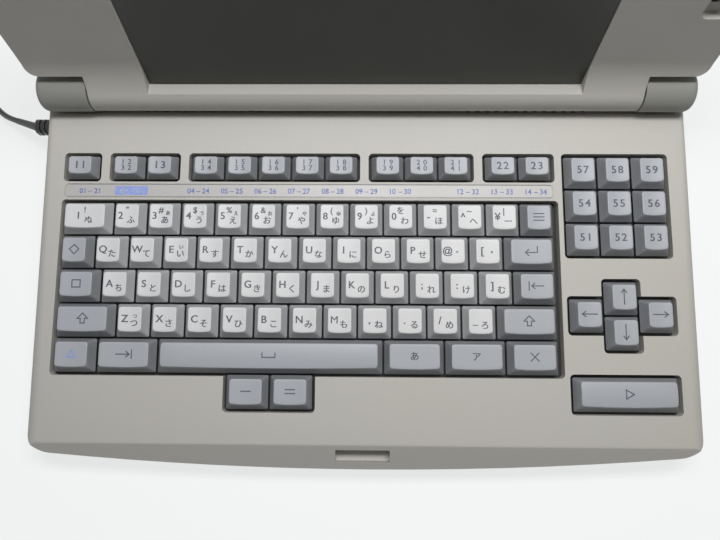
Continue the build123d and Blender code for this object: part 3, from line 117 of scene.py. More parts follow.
cord_exit = Vector((-218.06, 37.74, 13.06)) * MM
relief_heading = Vector((-18.8, 8.1, -8.5)).normalized()
lead_points = [
    cord_exit,
    cord_exit + relief_heading * 0.011,
    cord_exit + Vector((-0.0195, 0.0118, 0.0029 - cord_exit.z)),
    cord_exit + Vector((-0.0300, 0.0223, CORD_REST - cord_exit.z)),
    cord_exit + Vector((-0.0420, 0.0383, CORD_REST - cord_exit.z)),
    COIL_CENTRE + Vector((COIL_OUTER, -0.0145, CORD_REST)),
    COIL_CENTRE + Vector((COIL_OUTER, -0.0035, CORD_REST)),
]


def coil_point(turns):
    """Centre line of the coil after so many turns: spiral in, climb a layer, spiral out, climb."""
    layer = min(int(turns / COIL_TURNS), COIL_LAYERS - 1)
    share = turns / COIL_TURNS - layer
    inward = share if layer % 2 == 0 else 1 - share
    radius = COIL_OUTER - inward * COIL_TURNS * COIL_PITCH
    quarter = 0.25 / COIL_TURNS
    height = layer
    if share > 1 - quarter and layer < COIL_LAYERS - 1:
        height += ((share - 1 + quarter) / quarter) ** 2 / 2
    if share < quarter and layer > 0:
        height -= ((quarter - share) / quarter) ** 2 / 2
    angle = 2 * pi * turns
    offset = Vector((radius * cos(angle), radius * sin(angle), CORD_REST + height * COIL_PITCH))
    return COIL_CENTRE + offset


total_turns = COIL_TURNS * COIL_LAYERS
coil_points = [coil_point(step / POINTS_PER_TURN) for step in range(total_turns * POINTS_PER_TURN + 1)]
tail_start = coil_points[-1] + Vector((0, CORD_DIAMETER, 0))
tail_points = [
    tail_start,
    tail_start + Vector((0, 0.010, 0)),
    tail_start + Vector((-0.003, 0.024, -0.006)),
    tail_start + Vector((-0.011, 0.038, 0.0033 - tail_start.z)),
    tail_start + Vector((-0.023, 0.048, 0.0039 - tail_start.z)),
    tail_start + Vector((-0.036, 0.050, 0.0049 - tail_start.z)),
]
print("cord points:", len(lead_points), len(coil_points), len(tail_points))

# %% Cord as one spline
cord_curve = bpy.data.curves.new("mains_cord", "CURVE")
cord_curve.dimensions = "3D"
cord_curve.bevel_depth = 1.0
cord_curve.bevel_resolution = 4
cord_curve.resolution_u = 5
cord_line = cord_curve.splines.new("NURBS")
route = lead_points + coil_points + tail_points
cord_line.points.add(len(route) - 1)
for point, place in zip(cord_line.points, route):
    point.co = (*place, 1)
    point.radius = CORD_DIAMETER / 2
cord_line.order_u = 3
cord_line.use_endpoint_u = True
mains_cord = bpy.data.objects.new("mains_cord", cord_curve)
bpy.context.scene.collection.objects.link(mains_cord)
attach(mains_cord, "base")
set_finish(mains_cord, "cord_black")
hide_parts("cord_lead", "cord_coil", "cord_tail")
print("cord spline has", len(route), "points")


# %% Tie round the coil
def rounded_loop(low, high, radius, steps=4):
    """Points round a rounded rectangle, low and high being its corners."""
    loop = []
    corners = [(high[0], high[1], 0), (low[0], high[1], 1), (low[0], low[1], 2), (high[0], low[1], 3)]
    for x, y, quarter in corners:
        centre_x = x - radius if x > (low[0] + high[0]) / 2 else x + radius
        centre_y = y - radius if y > (low[1] + high[1]) / 2 else y + radius
        for step in range(steps + 1):
            angle = (quarter + step / steps) * pi / 2
            loop.append((centre_x + radius * cos(angle), centre_y + radius * sin(angle)))
    return loop


TIE_WIDTH = 3.2 * MM
TIE_THICKNESS = 0.7 * MM
TIE_ANGLE = radians(215)
inner_radius = COIL_OUTER - COIL_TURNS * COIL_PITCH - CORD_DIAMETER / 2
outer_radius = COIL_OUTER + CORD_DIAMETER / 2
coil_top = CORD_REST + (COIL_LAYERS - 1) * COIL_PITCH + CORD_DIAMETER / 2
tie_loops = [
    rounded_loop((inner_radius, 0.0004), (outer_radius, coil_top), 1.6 * MM),
    rounded_loop(
        (inner_radius - TIE_THICKNESS, 0.0001),
        (outer_radius + TIE_THICKNESS, coil_top + TIE_THICKNESS),
        2.2 * MM,
    ),
]
outward = Vector((cos(TIE_ANGLE), sin(TIE_ANGLE), 0))
sideways = Vector((-sin(TIE_ANGLE), cos(TIE_ANGLE), 0))
tie_vertices = []
for edge in (-0.5, 0.5):
    for loop in tie_loops:
        for across_coil, height in loop:
            place = COIL_CENTRE + outward * across_coil + sideways * edge * TIE_WIDTH
            tie_vertices.append(place + Vector((0, 0, height)))
ring = len(tie_loops[0])
tie_faces = []
for first in range(ring):
    second = (first + 1) % ring
    for low, high in ((0, 1), (1, 3), (3, 2), (2, 0)):
        tie_faces.append((low * ring + first, low * ring + second, high * ring + second, high * ring + first))
cord_tie = add_piece("cord_tie", tie_vertices, tie_faces, "base", "black_plastic")
print("tie goes round", round((coil_top) * 1000, 1), "mm of cord")

# %% [markdown]
# ## Table and light
# The photograph is lit from right above: the deck is brightest by the hinge, the key walls are a good
# deal darker than their tops, and the lid's inner face, which stands nearly upright, is darkest. One
# soft lamp above the hinge gives that, and a weak even world fills its shadows. The table is pale. Its
# picture is lifted towards white by Light Path, because a table that really were that bright would
# throw light back up under the machine.

# %% World and lamp
scene = bpy.context.scene
scene.view_settings.view_transform = "Standard"
FILL_LIGHT = 0.115
BACKGROUND = 0.92


def seen_mask(tree):
    """1 for rays that show a thing to the camera, straight or in a reflection, and 0 for other rays."""
    path = tree.nodes.new("ShaderNodeLightPath")
    first = tree.nodes.new("ShaderNodeMath")
    first.operation = "MAXIMUM"
    tree.links.new(path.outputs["Is Camera Ray"], first.inputs[0])
    tree.links.new(path.outputs["Is Glossy Ray"], first.inputs[1])
    second = tree.nodes.new("ShaderNodeMath")
    second.operation = "MAXIMUM"
    tree.links.new(first.outputs[0], second.inputs[0])
    tree.links.new(path.outputs["Is Transmission Ray"], second.inputs[1])
    return second.outputs[0]


world = bpy.data.worlds.new("studio")
world.use_nodes = True
world_tree = world.node_tree
world_tree.nodes["Background"].inputs["Color"].default_value = (1, 1, 1, 1)
world_level = world_tree.nodes.new("ShaderNodeMapRange")
world_level.inputs["To Min"].default_value = FILL_LIGHT
world_level.inputs["To Max"].default_value = BACKGROUND
world_tree.links.new(seen_mask(world_tree), world_level.inputs["Value"])
world_tree.links.new(world_level.outputs["Result"], world_tree.nodes["Background"].inputs["Strength"])
scene.world = world

lamp_data = bpy.data.lights.new("soft_lamp", "AREA")
lamp_data.shape = "RECTANGLE"
lamp_data.size = 0.44
lamp_data.size_y = 0.16
lamp_data.energy = 4.1
soft_lamp = bpy.data.objects.new("soft_lamp", lamp_data)
soft_lamp.location = (0.07, 0.125, 0.70)
scene.collection.objects.link(soft_lamp)
print("lamp", lamp_data.energy, "W, fill", FILL_LIGHT)

# %% Table
table_size = 3.0
table_mesh = bpy.data.meshes.new("table")
half = table_size / 2
table_corners = [(-half, -half, 0), (half, -half, 0), (half, half, 0), (-half, half, 0)]
table_mesh.from_pydata(table_corners, [], [(0, 1, 2, 3)])
table = bpy.data.objects.new("table", table_mesh)
scene.collection.objects.link(table)
print("table", table_size, "m square")

# %% [markdown]
# ## Shared effects as node groups
# Old moulded plastic has three things that a flat colour lacks: a fine eroded grain from the mould,
# slow changes of tint where light has yellowed it, and edges rubbed a little paler and shinier. Each
# is one group with its own inputs, so every plastic on the machine can have it in its own measure.


# %% Helpers that build a node group
def start_group(name, inputs, outputs):
    """An empty shader group with its sockets; returns the tree and its two end nodes."""
    tree = bpy.data.node_groups.new(name, "ShaderNodeTree")
    for label, kind, value in inputs:
        socket = tree.interface.new_socket(label, in_out="INPUT", socket_type=kind)
        socket.default_value = value
    for label, kind in outputs:
        tree.interface.new_socket(label, in_out="OUTPUT", socket_type=kind)
    return tree, tree.nodes.new("NodeGroupInput"), tree.nodes.new("NodeGroupOutput")


def maths(tree, operation, first, second=None, third=None):
    """A Math node whose inputs are sockets or numbers."""
    node = tree.nodes.new("ShaderNodeMath")
    node.operation = operation
    for index, value in enumerate((first, second, third)):
        if value is None:
            continue
        if isinstance(value, (int, float)):
            node.inputs[index].default_value = value
        else:
            tree.links.new(value, node.inputs[index])
    return node.outputs[0]


def noise(tree, scale, detail=3.0, rough=0.5, vector=None):
    """A Noise texture in the piece's own coordinates; scale is a number or a socket."""
    if vector is None:
        vector = tree.nodes.new("ShaderNodeTexCoord").outputs["Object"]
    node = tree.nodes.new("ShaderNodeTexNoise")
    node.inputs["Detail"].default_value = detail
    node.inputs["Roughness"].default_value = rough
    tree.links.new(vector, node.inputs["Vector"])
    if isinstance(scale, (int, float)):
        node.inputs["Scale"].default_value = scale
    else:
        tree.links.new(scale, node.inputs["Scale"])
    return node.outputs["Fac"]


def ramp(tree, value, low, high):
    """Value spread from low..high to 0..1, held at both ends."""
    node = tree.nodes.new("ShaderNodeMapRange")
    node.clamp = True
    node.inputs["From Min"].default_value = low
    node.inputs["From Max"].default_value = high
    tree.links.new(value, node.inputs["Value"])
    return node.outputs["Result"]


def blend_colour(tree, factor, first, second):
    """A colour mix; the colours are sockets or tuples."""
    node = tree.nodes.new("ShaderNodeMix")
    node.data_type = "RGBA"
    if isinstance(factor, (int, float)):
        node.inputs["Factor"].default_value = factor
    else:
        tree.links.new(factor, node.inputs["Factor"])
    for label, value in (("A", first), ("B", second)):
        socket = [s for s in node.inputs if s.name == label and s.type == "RGBA"][0]
        if isinstance(value, tuple):
            socket.default_value = value
        else:
            tree.links.new(value, socket)
    return [s for s in node.outputs if s.type == "RGBA"][0]


# %% Mould grain
# Spark-eroded steel leaves close, low bumps on the plastic, about a third of a millimetre apart.
grain_group, entry, leave = start_group(
    "mould_grain",
    [("Grains per metre", "NodeSocketFloat", 2600.0), ("Coarse share", "NodeSocketFloat", 0.3)],
    [("Height", "NodeSocketFloat")],
)
fine_grain = noise(grain_group, entry.outputs["Grains per metre"], detail=2.0)
coarse_scale = maths(grain_group, "MULTIPLY", entry.outputs["Grains per metre"], 0.31)
coarse_grain = noise(grain_group, coarse_scale, detail=1.0)
coarse_part = maths(grain_group, "MULTIPLY", coarse_grain, entry.outputs["Coarse share"])
grain_height = maths(grain_group, "ADD", fine_grain, coarse_part)
grain_group.links.new(grain_height, leave.inputs["Height"])

# %% Yellowing
# Light and air yellow the plastic unevenly: broad soft patches, and a fine fleck between them.
age_group, entry, leave = start_group(
    "yellowing",
    [
        ("Colour", "NodeSocketColor", (0.5, 0.5, 0.5, 1)),
        ("Aged colour", "NodeSocketColor", (0.5, 0.48, 0.4, 1)),
        ("Amount", "NodeSocketFloat", 0.5),
        ("Fleck", "NodeSocketFloat", 0.05),
    ],
    [("Colour", "NodeSocketColor")],
)
patches = ramp(age_group, noise(age_group, 7.0, detail=4.0), 0.35, 0.68)
patch_share = maths(age_group, "MULTIPLY", patches, entry.outputs["Amount"])
aged = blend_colour(age_group, patch_share, entry.outputs["Colour"], entry.outputs["Aged colour"])
flecks = maths(age_group, "SUBTRACT", noise(age_group, 900.0, detail=2.0), 0.5)
fleck_part = maths(age_group, "MULTIPLY", flecks, entry.outputs["Fleck"])
fleck_gain = maths(age_group, "ADD", fleck_part, 1.0)
flecked = age_group.nodes.new("ShaderNodeVectorMath")
flecked.operation = "SCALE"
age_group.links.new(aged, flecked.inputs[0])
age_group.links.new(fleck_gain, flecked.inputs["Scale"])
age_group.links.new(flecked.outputs["Vector"], leave.inputs["Colour"])

# %% Rubbed edges
# A rounded copy of the normal differs from the true one only near an edge, so their angle is a mask.
rub_group, entry, leave = start_group(
    "rubbed_edges",
    [("Reach", "NodeSocketFloat", 0.0012), ("Patchiness", "NodeSocketFloat", 0.6)],
    [("Mask", "NodeSocketFloat")],
)
soft_normal = rub_group.nodes.new("ShaderNodeBevel")
soft_normal.samples = 4
rub_group.links.new(entry.outputs["Reach"], soft_normal.inputs["Radius"])
true_normal = rub_group.nodes.new("ShaderNodeNewGeometry")
likeness = rub_group.nodes.new("ShaderNodeVectorMath")
likeness.operation = "DOT_PRODUCT"
rub_group.links.new(soft_normal.outputs["Normal"], likeness.inputs[0])
rub_group.links.new(true_normal.outputs["Normal"], likeness.inputs[1])
edge_mask = ramp(rub_group, maths(rub_group, "SUBTRACT", 1.0, likeness.outputs["Value"]), 0.02, 0.25)
touched = ramp(rub_group, noise(rub_group, 60.0, detail=3.0), 0.3, 0.7)
untouched = maths(rub_group, "SUBTRACT", 1.0, touched)
held_back = maths(rub_group, "MULTIPLY", untouched, entry.outputs["Patchiness"])
kept = maths(rub_group, "SUBTRACT", 1.0, held_back)
rub_group.links.new(maths(rub_group, "MULTIPLY", edge_mask, kept), leave.inputs["Mask"])

# %% Handling
# Fingers leave a faint uneven gloss: roughness wanders a little around its own value.
gloss_group, entry, leave = start_group(
    "handling",
    [
        ("Roughness", "NodeSocketFloat", 0.5),
        ("Spread", "NodeSocketFloat", 0.1),
        ("Smears per metre", "NodeSocketFloat", 22.0),
    ],
    [("Roughness", "NodeSocketFloat")],
)
smears = noise(gloss_group, entry.outputs["Smears per metre"], detail=5.0, rough=0.6)
wander = maths(gloss_group, "MULTIPLY", maths(gloss_group, "SUBTRACT", smears, 0.5), entry.outputs["Spread"])
gloss_group.links.new(maths(gloss_group, "ADD", entry.outputs["Roughness"], wander), leave.inputs["Roughness"])

# %% Steep faces
# The skirt of a key is the part that slopes: the mask is 1 where the surface leans past a level. It places the
# painted shade on key skirts, which light from above reaches less than the tops.
steep_shade_group, entry, leave = start_group(
    "steep faces",
    [("Level", "NodeSocketFloat", 0.86), ("Softness", "NodeSocketFloat", 0.06)],
    [("Mask", "NodeSocketFloat")],
)
surface = steep_shade_group.nodes.new("ShaderNodeNewGeometry")
upright = steep_shade_group.nodes.new("ShaderNodeSeparateXYZ")
steep_shade_group.links.new(surface.outputs["Normal"], upright.inputs[0])
below = maths(steep_shade_group, "SUBTRACT", entry.outputs["Level"], upright.outputs["Z"])
steepness = maths(steep_shade_group, "DIVIDE", below, entry.outputs["Softness"])
steep_shade_group.links.new(ramp(steep_shade_group, steepness, 0.0, 1.0), leave.inputs["Mask"])
print("groups:", [group.name for group in bpy.data.node_groups])


# %% Helpers that build a material
def colour(red, green, blue):
    """An 8-bit screen colour as the linear value that Blender's sockets hold."""
    linear = []
    for value in (red, green, blue):
        share = value / 255
        linear.append(share / 12.92 if share <= 0.04045 else ((share + 0.055) / 1.055) ** 2.4)
    return (*linear, 1.0)


def start_material(name):
    """A material with its Principled shader; returns the tree and the shader."""
    material = bpy.data.materials.new(name)
    material.use_nodes = True
    return material, material.node_tree, material.node_tree.nodes["Principled BSDF"]


def use_group(tree, group, **values):
    """Places a group in a material; underscores in the names stand for spaces."""
    node = tree.nodes.new("ShaderNodeGroup")
    node.node_tree = group
    for label, value in values.items():
        node.inputs[label.replace("_", " ")].default_value = value
    return node


def bump(tree, shader, height, distance, strength=1.0):
    """Feeds a height into the shader's normal; distance is the bump's depth in metres."""
    node = tree.nodes.new("ShaderNodeBump")
    node.inputs["Distance"].default_value = distance
    node.inputs["Strength"].default_value = strength
    tree.links.new(height, node.inputs["Height"])
    tree.links.new(node.outputs["Normal"], shader.inputs["Normal"])


def moulded_plastic(
    name, fresh, aged, amount, rough, grain_depth, rubbed, grains=2600.0, spread=0.1, skirt=None
):
    """A moulded plastic: grain, yellowing, rubbed edges and handled gloss, and painted shade on steep faces where a
    skirt colour is given.
    """
    material, tree, shader = start_material(name)
    age = use_group(tree, age_group, Colour=fresh, Aged_colour=aged, Amount=amount, Fleck=0.06)
    rub = use_group(tree, rub_group, Reach=0.0009, Patchiness=0.7)
    worn = blend_colour(tree, rub.outputs["Mask"], age.outputs["Colour"], rubbed)
    # Painted shade: where a skirt colour is given, steep faces take it, darker than the top, as light from above
    # falls less on them.
    if skirt is not None:
        slopes = use_group(tree, steep_shade_group, Level=0.86, Softness=0.06)
        worn = blend_colour(tree, slopes.outputs["Mask"], worn, skirt)
    tree.links.new(worn, shader.inputs["Base Color"])
    gloss = use_group(tree, gloss_group, Roughness=rough, Spread=spread)
    tree.links.new(gloss.outputs["Roughness"], shader.inputs["Roughness"])
    grain = use_group(tree, grain_group, Grains_per_metre=grains, Coarse_share=0.4)
    bump(tree, shader, grain.outputs["Height"], grain_depth)
    return material


# %% [markdown]
# ## Plastics
# The case and the lid are one warm grey moulded plastic with a fine grain. The letter keys are nearly
# white and faintly blue, the other keys a middle grey. Their tops have been polished by fingers, so
# they take less grain than the case, and they are paler than the sloping skirts, which are painted a
# darker tone: painted shade, as light from above falls less on steep faces. The hinge's fixed barrels
# are given a darker grey than the case they stand on.

# %% Case, lid and keys
materials = {}
materials["case_plastic"] = moulded_plastic(
    "case_plastic",
    fresh=colour(194, 192, 187),
    aged=colour(196, 191, 181),
    amount=0.55,
    rough=0.56,
    grain_depth=0.00005,
    rubbed=colour(204, 202, 194),
)
materials["lid_plastic"] = moulded_plastic(
    "lid_plastic",
    fresh=colour(192, 190, 184),
    aged=colour(194, 189, 178),
    amount=0.5,
    rough=0.58,
    grain_depth=0.00005,
    rubbed=colour(202, 200, 192),
)
# The fixed barrels are given a darker grey than the case.
barrel_plastic = moulded_plastic(
    "barrel_plastic",
    fresh=colour(146, 147, 142),
    aged=colour(149, 147, 138),
    amount=0.5,
    rough=0.58,
    grain_depth=0.00005,
    rubbed=colour(160, 160, 154),
)
materials["key_light"] = moulded_plastic(
    "key_light",
    fresh=colour(221, 222, 224),
    aged=colour(222, 221, 215),
    amount=0.35,
    rough=0.46,
    grain_depth=0.00002,
    rubbed=colour(228, 229, 232),
    grains=3200.0,
    # Painted shade: the sloping skirt is darker than the top because light from above falls less on it.
    skirt=colour(186, 188, 190),
)
materials["key_grey"] = moulded_plastic(
    "key_grey",
    fresh=colour(174, 178, 185),
    aged=colour(177, 177, 177),
    amount=0.35,
    rough=0.46,
    grain_depth=0.00002,
    rubbed=colour(190, 192, 199),
    grains=3200.0,
    # Painted shade: the sloping skirt is darker than the top because light from above falls less on it.
    skirt=colour(142, 144, 148),
)
materials["black_plastic"] = moulded_plastic(
    "black_plastic",
    fresh=colour(42, 42, 44),
    aged=colour(50, 49, 48),
    amount=0.5,
    rough=0.44,
    grain_depth=0.00003,
    rubbed=colour(70, 70, 72),
)
materials["gear_plastic"] = moulded_plastic(
    "gear_plastic",
    fresh=colour(214, 212, 202),
    aged=colour(204, 196, 176),
    amount=0.6,
    rough=0.4,
    grain_depth=0.00001,
    rubbed=colour(222, 220, 212),
)
print("plastics:", sorted(materials))

# %% [markdown]
# ## Rubber and vinyl
# The feet, the roller and the lid bumpers are dull black rubber with a bloom of pale dust. The cord
# is softer and shinier vinyl: smooth, with the faint lengthwise waviness of an extruded jacket.

# %% Rubber and vinyl
rubber, tree, shader = start_material("black_rubber")
bloom = ramp(tree, noise(tree, 90.0, detail=5.0), 0.45, 0.8)
rubber_colour = blend_colour(tree, bloom, colour(34, 34, 35), colour(58, 57, 55))
tree.links.new(rubber_colour, shader.inputs["Base Color"])
gloss = use_group(tree, gloss_group, Roughness=0.78, Spread=0.15)
tree.links.new(gloss.outputs["Roughness"], shader.inputs["Roughness"])
grain = use_group(tree, grain_group, Grains_per_metre=1800.0, Coarse_share=0.5)
bump(tree, shader, grain.outputs["Height"], 0.00004)
materials["black_rubber"] = rubber

vinyl, tree, shader = start_material("cord_black")
scuffs = ramp(tree, noise(tree, 160.0, detail=4.0, rough=0.7), 0.55, 0.8)
vinyl_colour = blend_colour(tree, scuffs, colour(18, 19, 21), colour(32, 32, 33))
tree.links.new(vinyl_colour, shader.inputs["Base Color"])
gloss = use_group(tree, gloss_group, Roughness=0.36, Spread=0.2, Smears_per_metre=120.0)
tree.links.new(gloss.outputs["Roughness"], shader.inputs["Roughness"])
shader.inputs["Coat Weight"].default_value = 0.15
bump(tree, shader, noise(tree, 700.0, detail=2.0), 0.00003)
materials["cord_black"] = vinyl
print("rubber and vinyl done")


# %% [markdown]
# ## Metals and boards
# The printer's side plates are zinc-plated sheet with its cloudy spangle, the shafts are ground steel
# and the plug's blades nickel on brass. They are seen through the cover's slot, or when a part turns.

# %% Metals
def bare_metal(name, bright, dull, rough, lines, depth):
    """A metal whose finish runs in fine lines along one axis, with cloudy patches."""
    material, tree, shader = start_material(name)
    shader.inputs["Metallic"].default_value = 1.0
    stretch = tree.nodes.new("ShaderNodeMapping")
    stretch.inputs["Scale"].default_value = lines
    tree.links.new(tree.nodes.new("ShaderNodeTexCoord").outputs["Object"], stretch.inputs["Vector"])
    scratches = noise(tree, 1.0, detail=3.0, vector=stretch.outputs["Vector"])
    clouds = ramp(tree, noise(tree, 45.0, detail=4.0), 0.35, 0.7)
    tree.links.new(blend_colour(tree, clouds, bright, dull), shader.inputs["Base Color"])
    gloss = use_group(tree, gloss_group, Roughness=rough, Spread=0.25, Smears_per_metre=70.0)
    tree.links.new(gloss.outputs["Roughness"], shader.inputs["Roughness"])
    bump(tree, shader, scratches, depth)
    return material


materials["steel"] = bare_metal(
    "steel", colour(198, 199, 202), colour(176, 177, 180), 0.3, (40, 3000, 3000), 0.00001
)
materials["zinc_sheet"] = bare_metal(
    "zinc_sheet", colour(186, 188, 190), colour(150, 153, 156), 0.42, (260, 260, 260), 0.00001
)
materials["motor_metal"] = bare_metal(
    "motor_metal", colour(170, 171, 174), colour(140, 141, 144), 0.38, (90, 2200, 2200), 0.00001
)
# The keyboard plate is near-black: painted shade for the deep, narrow gaps between the keys, where little light
# reaches.
materials["black_sheet"] = moulded_plastic(
    "black_sheet",
    fresh=colour(34, 34, 35),
    aged=colour(42, 41, 40),
    amount=0.5,
    rough=0.6,
    grain_depth=0.00003,
    rubbed=colour(60, 60, 60),
)
materials["brass"] = bare_metal(
    "brass", colour(205, 198, 180), colour(180, 168, 140), 0.3, (1800, 60, 1800), 0.00001
)

# %% Circuit board and print
board, tree, shader = start_material("board_green")
squares = tree.nodes.new("ShaderNodeTexBrick")
squares.inputs["Color1"].default_value = colour(36, 92, 58)
squares.inputs["Color2"].default_value = colour(30, 80, 50)
squares.inputs["Mortar"].default_value = colour(70, 130, 84)
squares.inputs["Scale"].default_value = 110.0
squares.inputs["Mortar Size"].default_value = 0.03
tree.links.new(tree.nodes.new("ShaderNodeTexCoord").outputs["Object"], squares.inputs["Vector"])
tree.links.new(squares.outputs["Color"], shader.inputs["Base Color"])
gloss = use_group(tree, gloss_group, Roughness=0.35, Spread=0.2)
tree.links.new(gloss.outputs["Roughness"], shader.inputs["Roughness"])
bump(tree, shader, squares.outputs["Fac"], 0.00004)
materials["board_green"] = board

strip, tree, shader = start_material("label_print")
age = use_group(
    tree, age_group, Colour=colour(190, 188, 186), Aged_colour=colour(191, 186, 179), Amount=0.5, Fleck=0.03
)
tree.links.new(age.outputs["Colour"], shader.inputs["Base Color"])
gloss = use_group(tree, gloss_group, Roughness=0.4, Spread=0.12)
tree.links.new(gloss.outputs["Roughness"], shader.inputs["Roughness"])
grain = use_group(tree, grain_group, Grains_per_metre=4200.0, Coarse_share=0.2)
bump(tree, shader, grain.outputs["Height"], 0.00001)
materials["label_print"] = strip


def ink(name, shade, faded):
    """Printed ink, a little thinner where fingers have rubbed it."""
    material, tree, shader = start_material(name)
    thin = ramp(tree, noise(tree, 420.0, detail=3.0), 0.4, 0.75)
    tree.links.new(blend_colour(tree, thin, shade, faded), shader.inputs["Base Color"])
    gloss = use_group(tree, gloss_group, Roughness=0.5, Spread=0.1)
    tree.links.new(gloss.outputs["Roughness"], shader.inputs["Roughness"])
    return material


dark_ink = ink("dark_ink", colour(78, 80, 92), colour(100, 102, 112))
blue_ink = ink("blue_ink", colour(140, 160, 228), colour(164, 178, 226))
pale_ink = ink("pale_ink", colour(222, 226, 240), colour(206, 212, 234))
print("metals, board and inks done")

# %% [markdown]
# ## Screen
# A reflective liquid-crystal panel that is off: a dark olive-grey sheet, slightly paler and greener
# towards its lower edge, under a thin film with a soft sheen. Its dots are a fine grid that shows
# only close by, so they are a bump and a slight change of tone, not geometry.

# %% Screen material
AXIS = Vector((0, 39.572, 53.129)) * MM
LID_LEAN = radians(12.5)
LID = Matrix.Translation(AXIS) @ Matrix.Rotation(pi / 2 - LID_LEAN, 4, "X")
SCREEN_START = 7.6 * MM
SCREEN_HEIGHT = 146 * MM

panel, tree, shader = start_material("screen")
object_point = tree.nodes.new("ShaderNodeTexCoord").outputs["Object"]
lid_up = tree.nodes.new("ShaderNodeVectorMath")
lid_up.operation = "DOT_PRODUCT"
up_the_lid = LID.to_3x3() @ Vector((0, 1, 0))
lid_up.inputs[1].default_value = up_the_lid
tree.links.new(object_point, lid_up.inputs[0])
height_up = maths(tree, "SUBTRACT", lid_up.outputs["Value"], AXIS.dot(up_the_lid) + SCREEN_START)
lower_band = ramp(tree, height_up, 0.060, 0.0)
panel_colour = blend_colour(tree, lower_band, colour(34, 33, 30), colour(48, 50, 42))
cloudy = ramp(tree, noise(tree, 12.0, detail=3.0), 0.3, 0.75)
panel_cloudy = blend_colour(tree, maths(tree, "MULTIPLY", cloudy, 0.35), panel_colour, colour(42, 40, 36))
DOT_PITCH = 0.34 * MM
across_screen = tree.nodes.new("ShaderNodeSeparateXYZ")
tree.links.new(object_point, across_screen.inputs[0])
dot_lines = []
for distance in (across_screen.outputs["X"], height_up):
    share = maths(tree, "FRACT", maths(tree, "DIVIDE", distance, DOT_PITCH))
    dot_lines.append(ramp(tree, share, 0.80, 0.95))
grid_mask = maths(tree, "MAXIMUM", dot_lines[0], dot_lines[1])
grid_share = maths(tree, "MULTIPLY", grid_mask, 0.25)
tree.links.new(blend_colour(tree, grid_share, panel_cloudy, colour(22, 22, 20)), shader.inputs["Base Color"])
gloss = use_group(tree, gloss_group, Roughness=0.42, Spread=0.12)
tree.links.new(gloss.outputs["Roughness"], shader.inputs["Roughness"])
shader.inputs["Coat Weight"].default_value = 0.25
shader.inputs["Coat Roughness"].default_value = 0.25
bump(tree, shader, grid_mask, 0.00001, strength=0.4)
materials["screen"] = panel
print("screen done; slots without a finish:", set(slot_of_node.values()) - set(materials))

# %% [markdown]
# ## CAD parts
# The CAD shapes stay as they are. Each gets its finish and a small rounding of its sharp edges, which
# a moulding always has and which catches the light. A Bevel modifier does that without touching the
# mesh; a Weld and a planar Decimate before it join the triangles that the import left apart.

# %% Finish the CAD parts
EDGE_ROUND = {
    "case_plastic": 0.45 * MM,
    "lid_plastic": 0.45 * MM,
    "black_plastic": 0.25 * MM,
    "key_grey": 0.3 * MM,
    "zinc_sheet": 0.15 * MM,
    "screen": 0.0,
    "label_print": 0.0,
}


def soften_edges(piece, width):
    """Rounds a CAD mesh's sharp edges with modifiers only."""
    mesh = piece.data
    mesh.shade_smooth()
    if "custom_normal" in mesh.attributes:
        mesh.attributes.remove(mesh.attributes["custom_normal"])
    weld = piece.modifiers.new("weld", "WELD")
    weld.merge_threshold = 0.000004
    plane = piece.modifiers.new("planes", "DECIMATE")
    plane.decimate_type = "DISSOLVE"
    plane.angle_limit = radians(0.4)
    edge = piece.modifiers.new("edges", "BEVEL")
    edge.width = max(width, 0.00002)
    edge.segments = 2
    edge.limit_method = "ANGLE"
    edge.angle_limit = radians(32)
    edge.harden_normals = True
    edge.use_clamp_overlap = True
    edge.miter_outer = "MITER_ARC"


for node_name, piece in nodes.items():
    slot_name = slot_of_node[node_name]
    piece.data.materials.clear()
    piece.data.materials.append(materials[slot_name])
    if not piece.hide_render:
        soften_edges(piece, EDGE_ROUND.get(slot_name, 0.2 * MM))
nodes["hinge_barrels"].data.materials[0] = barrel_plastic
for piece in (mains_cord, cord_tie):
    piece.data.materials.append(materials[piece["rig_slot"]])
print("finished", len(nodes), "CAD parts")

# %% Table finish
LIFT_SHARE = 0.76
table_material, tree, shader = start_material("table_top")
seen = seen_mask(tree)
table_tone = ramp(tree, noise(tree, 3.0, detail=3.0), 0.3, 0.7)
table_pale = blend_colour(tree, table_tone, colour(243, 246, 246), colour(248, 250, 250))
tree.links.new(blend_colour(tree, seen, colour(188, 189, 189), table_pale), shader.inputs["Base Color"])
shader.inputs["Roughness"].default_value = 0.7
glow = tree.nodes.new("ShaderNodeEmission")
glow.inputs["Color"].default_value = colour(252, 254, 254)
lifted = tree.nodes.new("ShaderNodeMixShader")
tree.links.new(maths(tree, "MULTIPLY", seen, LIFT_SHARE), lifted.inputs[0])
tree.links.new(shader.outputs[0], lifted.inputs[1])
tree.links.new(glow.outputs[0], lifted.inputs[2])
tree.links.new(lifted.outputs[0], tree.nodes["Material Output"].inputs["Surface"])
table.data.materials.append(table_material)
print("table finished")

# %% [markdown]
# ## Key tops
# Each key is a thin-walled cap: a straight skirt that slopes in to a smaller top set towards the
# back, all corners rounded, and a shallow trough across the top for the fingertip. Stacked rounded
# rectangles, joined ring to ring, give that in one closed skin, and one function makes every width.

